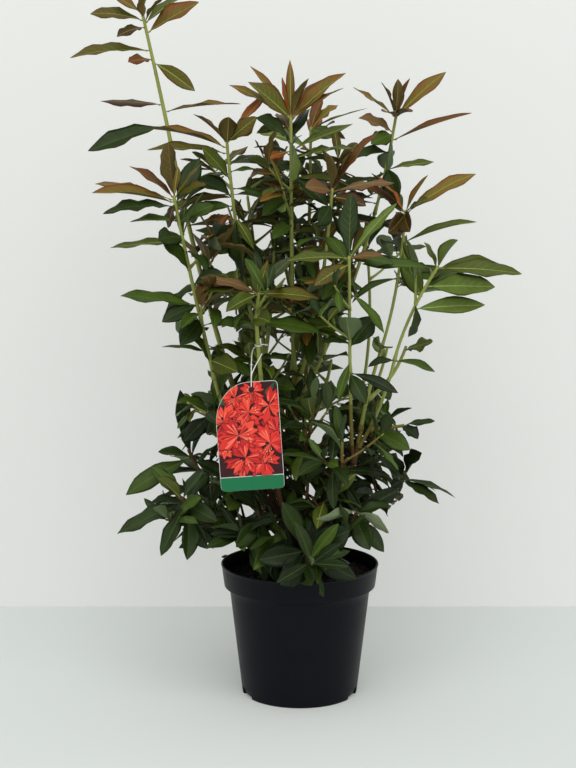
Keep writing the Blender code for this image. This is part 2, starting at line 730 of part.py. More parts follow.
def build_stem(spray, paths, group):
    """The stem of a mass of foliage, cut clear of what it grows from."""
    parent = paths[spray.parent]
    tip = Vector(spray.tip)
    if spray.where == 1.0:
        path = continuing_path(parent, tip, STEM_TIP_RADIUS)
    else:
        path = rising_path(parent, spray.where, tip, STEM_SWEEP, STEM_RADIUS, STEM_TIP_RADIUS)
    paths[spray.name] = path
    points, radii = path.points(STEM_STEP)
    stem = tube(spray.name, points, radii, group, sides=3)
    if spray.where < 1.0:
        cutter = limb_cutter(spray.name + "_foot", spray.parent, paths, group)
        combine(stem, [cutter], "DIFFERENCE")
    return stem


def spray_leaves(spray, path, twigs, filled):
    """The leaves of a mass: those of its stem first, then those of each side twig."""
    rng = random.Random(spray.name + " leaves")
    leaves = grow_leaves(
        spray.name, path, spray.leaves, spray.bearing, spray.length, BARE_FOOT, filled, rng
    )
    for twig_path, _ in twigs:
        bearing = rng.uniform(0, 360)
        length = spray.length * TWIG_LEAF_LENGTH
        leaves += grow_leaves(
            spray.name, twig_path, TWIG_LEAVES, bearing, length, BARE_FOOT, filled, rng
        )
    return leaves


def build_sprays(paths, filled, group, young_material, old_material):
    """Each mass of foliage: all the stems first, then side twigs, then leaves, and each mass joined."""
    sprays = [Spray._make(row) for row in SPRAYS]
    stems = {}
    for spray in sprays:
        stem = build_stem(spray, paths, group)
        filled.add(spray.name, *corners_and_faces(stem.data))
        stems[spray.name] = stem
    side_twigs = {}
    for spray in sprays:
        rng = random.Random(spray.name + " twigs")
        stem = paths[spray.name]
        side_twigs[spray.name] = grow_twigs(spray.name, stem, spray.twigs, filled, rng, group)
    for spray in sprays:
        twigs = side_twigs[spray.name]
        leaves = spray_leaves(spray, paths[spray.name], twigs, filled)
        parts = [twig for _, twig in twigs]
        for number, (corners, faces) in enumerate(leaves):
            mesh = bpy.data.meshes.new(f"{spray.name}_leaf_{number}")
            mesh.from_pydata(corners, [], faces)
            parts.append(add_object(mesh.name, mesh, group))
        combine(stems[spray.name], parts, "UNION")
        young = spray.tip[2] > YOUNG_ABOVE
        stems[spray.name].data.materials.append(young_material if young else old_material)


def tag_frame():
    """From the card's own plane, X right and Y up from its hole, to where it hangs."""
    upright = Matrix.Rotation(math.radians(90), 4, "X")
    tilt = Matrix.Rotation(math.radians(TAG_TILT), 4, "Z")
    return Matrix.Translation(TAG_HOLE) @ upright @ tilt


def arc(centre, radius_x, radius_y, first, last, steps):
    points = []
    for i in range(steps + 1):
        angle = math.radians(first + (last - first) * i / steps)
        points.append((centre[0] + radius_x * math.cos(angle), centre[1] + radius_y * math.sin(angle)))
    return points


def build_tag(group, material):
    right = TAG_HOLE_FROM_RIGHT
    left = right - TAG_WIDTH
    top = TAG_HOLE_FROM_TOP
    bottom = top - TAG_HEIGHT
    corner = TAG_CORNER
    steps = TAG_CORNER_STEPS
    round_centre = (left + TAG_ROUND_WIDTH, top - TAG_ROUND_HEIGHT)
    outline = arc((right - corner, top - corner), corner, corner, 0, 90, steps)
    outline += arc(round_centre, TAG_ROUND_WIDTH, TAG_ROUND_HEIGHT, 90, 180, TAG_ROUND_STEPS)
    outline += arc((left + corner, bottom + corner), corner, corner, 180, 270, steps)
    outline += arc((right - corner, bottom + corner), corner, corner, 270, 360, steps)
    last = 360 - 360 / TAG_HOLE_SIDES
    hole = arc((0.0, 0.0), TAG_HOLE_RADIUS, TAG_HOLE_RADIUS, 0, last, TAG_HOLE_SIDES - 1)
    data = bpy.data.curves.new("tag", "CURVE")
    data.dimensions = "2D"
    data.fill_mode = "BOTH"
    data.extrude = TAG_THICK / 2
    for points in (outline, hole):
        line = data.splines.new("POLY")
        line.points.add(len(points) - 1)
        line.use_cyclic_u = True
        for knot, point in zip(line.points, points):
            knot.co = (*point, 0.0, 1.0)
    flat = add_object("tag_outline", data, group)
    flat.matrix_world = tag_frame()
    bpy.context.view_layer.update()
    mesh = evaluated_mesh(flat, "tag")
    bpy.data.objects.remove(flat, do_unlink=True)
    return add_object("tag", mesh, group, material)


def soften(points, rounds):
    """The line with its corners cut, rounds times over."""
    for _ in range(rounds):
        cut = [points[0]]
        for here, there in zip(points, points[1:]):
            cut += [here.lerp(there, 0.25), here.lerp(there, 0.75)]
        points = cut + [points[-1]]
    return points


def tie_points(paths):
    """The tie's line: a free end, turns round the front bough, down to the card, through its hole
    and back up behind it."""
    bough = paths["bough_front"]
    share = min((i / 200 for i in range(201)), key=lambda s: abs(bough.at(s).z - TIE_HEIGHT))
    middle = bough.at(share)
    along = bough.heading(share)
    side = Vector((1.0, 0.0, 0.0))
    side = (side - along * side.dot(along)).normalized()
    back = along.cross(side)
    ring = (bough.radius(share) + TIE_RADIUS + 2 * GAP) / math.cos(math.pi / TIE_SIDES)
    turns = []
    for i in range(round(TIE_TURNS * TIE_SIDES) + 1):
        angle = math.radians(TIE_FIRST) + 2 * math.pi * i / TIE_SIDES
        rise = TIE_PITCH * (TIE_TURNS / 2 - i / TIE_SIDES)
        out = side * math.cos(angle) + back * math.sin(angle)
        turns.append(middle + out * ring + along * rise)
    free_end = turns[0] + TIE_FREE_END
    card = tag_frame()
    stand = TAG_THICK / 2 + TIE_RADIUS + 2 * GAP
    front = card @ Vector((0.0, 0.0, stand))
    rear = card @ Vector((0.0, 0.0, -stand))
    above = UP * (TAG_HOLE_FROM_TOP + 2 * TIE_BESIDE)
    tail = [turns[-1], turns[-1] + Vector((-TIE_BESIDE, 0.0, -TIE_BESIDE))]
    tail += [front + above, front + above / 2, front, rear, rear + above / 2, rear + above]
    tail.append(middle + Vector((TIE_BESIDE, -ring - 3 * TIE_RADIUS, -2 * TIE_BESIDE)))
    return [free_end] + turns[:-1] + soften(tail, 2)


def build_tie(paths, group, material):
    points = tie_points(paths)
    tie = tube("tag_tie", points, [TIE_RADIUS] * len(points), group, sides=4)
    tie.data.materials.append(material)
    return tie


def keep_view_of_tag(filled):
    """The space in front of the card stays free of leaves."""
    right = TAG_HOLE_FROM_RIGHT
    top = TAG_HOLE_FROM_TOP
    middle = Vector((right - TAG_WIDTH / 2, top - TAG_HEIGHT / 2, TAG_VIEW_DEPTH / 2))
    size = Matrix.Diagonal((TAG_WIDTH, TAG_HEIGHT, TAG_VIEW_DEPTH, 1.0))
    shape = bmesh.new()
    bmesh.ops.create_cube(shape, size=1.0, matrix=tag_frame() @ Matrix.Translation(middle) @ size)
    bmesh.ops.triangulate(shape, faces=shape.faces)
    shape.verts.ensure_lookup_table()
    corners = [corner.co.copy() for corner in shape.verts]
    faces = [tuple(corner.index for corner in face.verts) for face in shape.faces]
    filled.add("view", corners, faces)
    shape.free()


def shade(group):
    for piece in group.objects:
        piece.data.shade_smooth()
        piece.data.set_sharp_from_angle(angle=math.radians(SHARP_ANGLE))


def main():
    clear_scene()
    group = new_collection(COLLECTION)
    black_plastic = plain_material("black_plastic", (0.012, 0.013, 0.015), 0.5)
    peat = plain_material("peat", (0.020, 0.013, 0.009), 0.95)
    bark = plain_material("bark", (0.14, 0.065, 0.035), 0.8)
    young_leaf = plain_material("young_leaf", (0.15, 0.12, 0.035), 0.5)
    old_leaf = plain_material("old_leaf", (0.035, 0.075, 0.025), 0.55)
    card = plain_material("card", (0.30, 0.03, 0.03), 0.35)
    white_plastic = plain_material("white_plastic", (0.75, 0.75, 0.72), 0.5)
    build_pot(group, black_plastic)
    build_soil(group, peat)
    trunk = build_trunk(group)
    trunk.data.materials.append(bark)
    paths = {"trunk": trunk_path()}
    build_limbs(paths, group, bark)
    build_tag(group, card)
    build_tie(paths, group, white_plastic)
    filled = Filled()
    for piece in list(group.objects):
        filled.add(piece.name, *corners_and_faces(piece.data))
    keep_view_of_tag(filled)
    build_sprays(paths, filled, group, young_leaf, old_leaf)
    shade(group)


main()
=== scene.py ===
"""A bushy rhododendron of the deciduous azalea kind in its black nursery pot, in leaf.

Metres, +Z up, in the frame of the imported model. The leaves grow on the same stems, by the same
rule, as the masses of foliage that they replace. Those that face the viewer are set leaf by leaf.
"""

import json
import math
import random
from collections import namedtuple

import bmesh
import bpy
import numpy as np
from mathutils import Matrix, Vector, noise
from mathutils.bvhtree import BVHTree

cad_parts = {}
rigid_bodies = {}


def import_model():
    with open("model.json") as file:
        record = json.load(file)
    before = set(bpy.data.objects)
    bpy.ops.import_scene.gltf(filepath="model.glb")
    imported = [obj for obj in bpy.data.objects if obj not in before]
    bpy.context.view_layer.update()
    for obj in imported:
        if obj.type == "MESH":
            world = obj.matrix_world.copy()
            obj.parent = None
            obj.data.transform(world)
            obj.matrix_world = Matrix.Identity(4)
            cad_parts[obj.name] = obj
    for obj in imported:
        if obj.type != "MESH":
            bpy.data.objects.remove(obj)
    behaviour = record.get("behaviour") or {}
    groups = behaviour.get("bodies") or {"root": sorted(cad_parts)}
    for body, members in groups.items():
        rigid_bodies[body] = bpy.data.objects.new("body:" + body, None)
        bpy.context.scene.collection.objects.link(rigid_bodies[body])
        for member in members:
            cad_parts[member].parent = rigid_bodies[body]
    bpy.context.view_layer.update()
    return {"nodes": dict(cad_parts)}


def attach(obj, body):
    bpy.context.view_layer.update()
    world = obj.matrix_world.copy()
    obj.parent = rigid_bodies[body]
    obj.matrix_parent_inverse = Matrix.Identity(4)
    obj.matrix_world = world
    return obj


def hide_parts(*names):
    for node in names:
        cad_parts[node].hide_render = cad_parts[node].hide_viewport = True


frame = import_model()
UP = Vector((0.0, 0.0, 1.0))
ACROSS = Vector((1.0, 0.0, 0.0))
TO_VIEWER = Vector((0.0, -1.0, 0.0))

# Camera, in metres, degrees and pixels of the 576 by 768 picture
CAMERA_PLACE = Vector((-0.0184, -2.331, 0.804))
CAMERA_PITCH = 7.70  # degrees under the level
PICTURE_WIDTH = 576
PICTURE_HEIGHT = 768
FOCAL_PIXELS = 1522
SENSOR = 36.0

Limb = namedtuple("Limb", "name parent where tip sweep foot_radius tip_radius")
Spray = namedtuple("Spray", "name parent where tip leaves twigs bearing length")
Seen = namedtuple("Seen", "root tip toward width face bend tint")

# Limbs: name, what it grows from, where along that, its tip, sweep of its foot, foot and tip radius
LIMBS = (
    ("bough_centre", "trunk", 0.90, (-0.009, 0.000, 0.511), 0.10, 0.0048, 0.0040),
    ("bough_right", "trunk", 0.66, (0.092, -0.050, 0.425), 0.55, 0.0048, 0.0042),
    ("bough_left_tall", "trunk", 0.66, (-0.199, 0.064, 0.850), 0.24, 0.0050, 0.0032),
    ("bough_front", "trunk", 0.62, (-0.064, -0.128, 0.592), 0.50, 0.0044, 0.0030),
    ("bough_back_left", "trunk", 0.62, (-0.060, 0.125, 0.560), 0.42, 0.0046, 0.0034),
    ("bough_back_right", "trunk", 0.66, (0.105, 0.115, 0.480), 0.45, 0.0046, 0.0034),
    ("bough_left", "bough_left_tall", 0.10, (-0.128, -0.068, 0.505), 0.35, 0.0040, 0.0032),
    ("bough_back", "bough_centre", 0.16, (0.014, 0.105, 0.640), 0.45, 0.0040, 0.0030),
    ("bough_middle_left", "bough_centre", 0.62, (-0.078, 0.004, 0.612), 0.30, 0.0038, 0.0030),
    ("bough_upper_right", "bough_centre", 0.80, (0.116, 0.050, 0.748), 0.22, 0.0036, 0.0030),
    ("bough_right_inner", "bough_right", 1.00, (0.123, -0.030, 0.545), 0.10, 0.0040, 0.0032),
    ("bough_right_outer", "bough_right", 0.90, (0.140, -0.082, 0.535), 0.28, 0.0036, 0.0030),
    ("bough_right_front", "bough_right", 0.80, (0.073, -0.108, 0.520), 0.35, 0.0034, 0.0028),
)

# Sprays: name, limb, where along it, tip, leaves up the stem, side twigs, bearing of the first
# leaf (degrees from +X), length of a full leaf
SPRAYS = (
    ("spray_left_tall", "bough_left_tall", 1.0, (-0.247, 0.070, 1.074), 15, 0, 205, 0.116),
    ("spray_centre", "bough_centre", 1.0, (-0.014, 0.000, 0.895), 19, 1, 170, 0.104),
    ("spray_upper_right", "bough_upper_right", 1.0, (0.149, 0.060, 0.900), 15, 0, 20, 0.104),
    ("spray_left", "bough_left", 1.0, (-0.186, -0.080, 0.778), 18, 0, 160, 0.118),
    ("spray_right_inner", "bough_right_inner", 1.0, (0.160, 0.000, 0.755), 16, 0, 10, 0.108),
    ("spray_right_outer", "bough_right_outer", 1.0, (0.200, -0.110, 0.676), 16, 0, 352, 0.122),
    ("spray_right_front", "bough_right_front", 1.0, (0.070, -0.130, 0.692), 14, 0, 190, 0.096),
    ("spray_middle_left", "bough_middle_left", 1.0, (-0.111, 0.000, 0.860), 15, 0, 185, 0.104),
    ("spray_front", "bough_front", 1.0, (-0.060, -0.130, 0.641), 9, 0, 175, 0.096),
    ("spray_inner_right", "bough_centre", 0.90, (0.048, -0.030, 0.788), 13, 1, 30, 0.096),
    ("spray_high_back", "bough_back", 1.0, (0.018, 0.125, 0.884), 13, 1, 15, 0.096),
    ("spray_mid_back", "bough_back", 0.80, (-0.040, 0.175, 0.785), 12, 0, 150, 0.098),
    ("spray_back_left_high", "bough_back_left", 1.0, (-0.084, 0.150, 0.775), 13, 1, 160, 0.098),
    ("spray_low_left_front", "trunk", 0.50, (-0.180, -0.080, 0.326), 15, 1, 200, 0.104),
    ("spray_low_left", "trunk", 0.62, (-0.174, 0.010, 0.384), 13, 1, 170, 0.098),
    ("spray_low_front", "trunk", 0.42, (0.008, -0.140, 0.264), 13, 0, 270, 0.096),
    ("spray_low_right", "bough_right", 0.42, (0.162, 0.005, 0.340), 13, 1, 0, 0.096),
    ("spray_low_right_front", "trunk", 0.46, (0.085, -0.095, 0.310), 13, 0, 320, 0.092),
    ("spray_mid_right", "bough_right", 0.70, (0.132, 0.030, 0.425), 12, 0, 10, 0.088),
    ("spray_inner_front", "bough_centre", 0.45, (0.020, -0.085, 0.470), 13, 0, 300, 0.092),
    ("spray_inner_low", "trunk", 0.66, (0.012, -0.075, 0.360), 13, 0, 260, 0.092),
    ("spray_inner_left", "bough_middle_left", 0.35, (-0.070, -0.060, 0.560), 11, 0, 200, 0.090),
    ("spray_under_tag", "trunk", 0.36, (-0.064, -0.105, 0.312), 14, 0, 230, 0.096),
    ("spray_behind_tag", "bough_left", 0.45, (-0.110, -0.030, 0.430), 12, 0, 150, 0.090),
    ("spray_inner_back", "bough_back", 0.42, (0.050, 0.055, 0.520), 12, 1, 60, 0.090),
    ("spray_centre_left", "bough_middle_left", 0.62, (-0.040, 0.055, 0.690), 13, 0, 100, 0.096),
    ("spray_centre_right", "bough_upper_right", 0.30, (0.046, -0.030, 0.640), 13, 0, 240, 0.094),
    ("spray_right_low", "bough_right_inner", 0.40, (0.165, 0.020, 0.545), 12, 0, 20, 0.092),
    ("spray_left_low", "bough_left", 0.72, (-0.165, -0.020, 0.500), 12, 0, 190, 0.094),
    ("spray_right_side", "bough_right_outer", 0.25, (0.190, -0.050, 0.440), 12, 0, 340, 0.090),
    ("spray_inner_right_low", "bough_right", 0.55, (0.062, -0.100, 0.415), 12, 0, 290, 0.090),
    ("spray_foot_right", "trunk", 0.40, (0.100, 0.010, 0.285), 12, 0, 10, 0.090),
    ("spray_back_left", "bough_back_left", 0.78, (-0.095, 0.235, 0.640), 13, 1, 120, 0.098),
    ("spray_back_left_low", "bough_back_left", 0.45, (-0.150, 0.140, 0.450), 13, 1, 140, 0.094),
    ("spray_back_middle", "bough_back_left", 0.30, (-0.020, 0.200, 0.440), 13, 0, 90, 0.094),
    ("spray_back_far", "bough_back", 0.58, (0.020, 0.265, 0.600), 14, 1, 80, 0.100),
    ("spray_back_right_high", "bough_back_right", 1.0, (0.110, 0.175, 0.700), 14, 1, 40, 0.100),
    ("spray_back_right", "bough_back_right", 0.80, (0.150, 0.235, 0.520), 13, 1, 60, 0.096),
    ("spray_back_right_low", "bough_back_right", 0.50, (0.185, 0.120, 0.400), 12, 1, 30, 0.092),
    ("spray_low_back", "trunk", 0.60, (0.040, 0.175, 0.350), 13, 1, 80, 0.092),
    ("spray_low_back_left", "trunk", 0.52, (-0.090, 0.150, 0.300), 13, 0, 120, 0.094),
)
# How far a spray's stem goes where leaves alone make up the rest of its reach
STEM_SHARES = {"spray_right_side": 0.5, "spray_left_low": 0.35, "spray_back_right_low": 0.75}
# The share of its radius that a bough keeps here
SLENDER = {
    "bough_right": 0.88,
    "bough_right_inner": 0.76,
    "bough_right_outer": 0.80,
    "bough_right_front": 0.88,
    "bough_back_right": 0.78,
    "bough_upper_right": 0.85,
}
YOUNG_ABOVE = 0.62  # height of a spray's tip over which its leaves are this year's bronze ones

# Leaf colours as the eye reads them, 0 to 255: blade, its margin, which midrib, which underside
TINTS = {
    "orange": ((136, 84, 22), (158, 64, 20), "straw", "rust"),
    "bronze": ((98, 94, 24), (128, 66, 20), "straw", "rust"),
    "copper": ((94, 76, 26), (114, 52, 24), "tan", "rust"),
    "rose": ((112, 96, 54), (118, 72, 48), "tan", "rust"),
    "gold": ((110, 102, 28), (128, 78, 24), "straw", "sage"),
    "wine": ((62, 56, 20), (68, 36, 20), "tan", "rust"),
    "olive": ((80, 88, 20), (98, 70, 22), "straw", "sage"),
    "moss": ((72, 92, 24), (80, 82, 22), "straw", "sage"),
    "fresh": ((98, 118, 44), (84, 100, 34), "lime", "pale"),
    "sage": ((100, 116, 66), (86, 102, 52), "lime", "pale"),
    "silver": ((92, 110, 60), (80, 96, 48), "lime", "silver"),
    "ash": ((68, 78, 44), (60, 66, 36), "leafy", "dim"),
    "mid": ((68, 92, 18), (54, 74, 15), "leafy", "pale"),
    # deep and dark, with their dusky ribs and dim undersides, are partly the older leaves' own darker
    # green and partly painted shade, given to leaves low on the plant and inside the crown
    "deep": ((43, 62, 14), (33, 48, 11), "dusky", "dim"),
    "dark": ((28, 43, 11), (21, 33, 9), "dusky", "dim"),
}
RIBS = {
    "tan": (150, 116, 62),
    "straw": (152, 152, 72),
    "lime": (142, 160, 88),
    "leafy": (86, 106, 42),
    "dusky": (60, 80, 34),
}
UNDERSIDES = {
    "rust": (96, 82, 42),
    "sage": (88, 98, 50),
    "pale": (98, 114, 76),
    "silver": (138, 152, 116),
    "dim": (54, 68, 38),
}

# How often each tint comes in a mixture
MIXTURES = {
    "bronze": {"orange": 1, "bronze": 5, "copper": 3, "olive": 4, "wine": 2, "rose": 1},
    "golden": {"gold": 3, "olive": 3, "bronze": 3, "copper": 2, "moss": 2},
    "plum": {"wine": 4, "copper": 3, "bronze": 2, "deep": 2, "rose": 2},
    "turning": {"olive": 2, "moss": 4, "mid": 5, "deep": 2},
    "fresh": {"fresh": 4, "moss": 3, "mid": 3, "sage": 1},
    "green": {"mid": 6, "moss": 2, "deep": 3, "fresh": 2},
    # low and shade are the darker mixtures for the lower sprays and the leaves under the whorls: partly
    # the older leaves' own darker green, partly painted shade where the light from above doesn't reach
    "low": {"mid": 5, "moss": 1, "deep": 5},
    "shade": {"deep": 5, "mid": 1, "dark": 5},
}
# The mixture of a spray's end whorl and of the leaves under it. Others take "low" and "shade".
SPRAY_MIXTURES = {
    "spray_left_tall": ("bronze", "turning"),
    "spray_centre": ("bronze", "green"),
    "spray_upper_right": ("golden", "green"),
    "spray_left": ("plum", "green"),
    "spray_right_inner": ("golden", "green"),
    "spray_right_outer": ("fresh", "green"),
    "spray_right_front": ("turning", "green"),
    "spray_middle_left": ("bronze", "turning"),
    "spray_front": ("turning", "green"),
    "spray_inner_right": ("plum", "green"),
    "spray_high_back": ("bronze", "green"),
    "spray_mid_back": ("turning", "green"),
    "spray_back_left_high": ("golden", "green"),
    "spray_centre_left": ("turning", "green"),
    "spray_centre_right": ("turning", "green"),
    "spray_inner_left": ("turning", "green"),
    "spray_left_low": ("green", "green"),
    "spray_inner_front": ("green", "green"),
    "spray_inner_back": ("green", "green"),
    "spray_back_left": ("bronze", "green"),
    "spray_back_right_high": ("turning", "green"),
    "spray_back_far": ("turning", "green"),
    "spray_low_left_front": ("low", "shade"),
    "spray_low_front": ("shade", "shade"),
    "spray_low_right_front": ("shade", "shade"),
    "spray_under_tag": ("shade", "shade"),
    "spray_right_low": ("fresh", "green"),
    "spray_right_side": ("fresh", "green"),
}
# Most lower sprays take these darker mixtures, which are partly painted shade
PLAIN_MIXTURE = ("low", "shade")

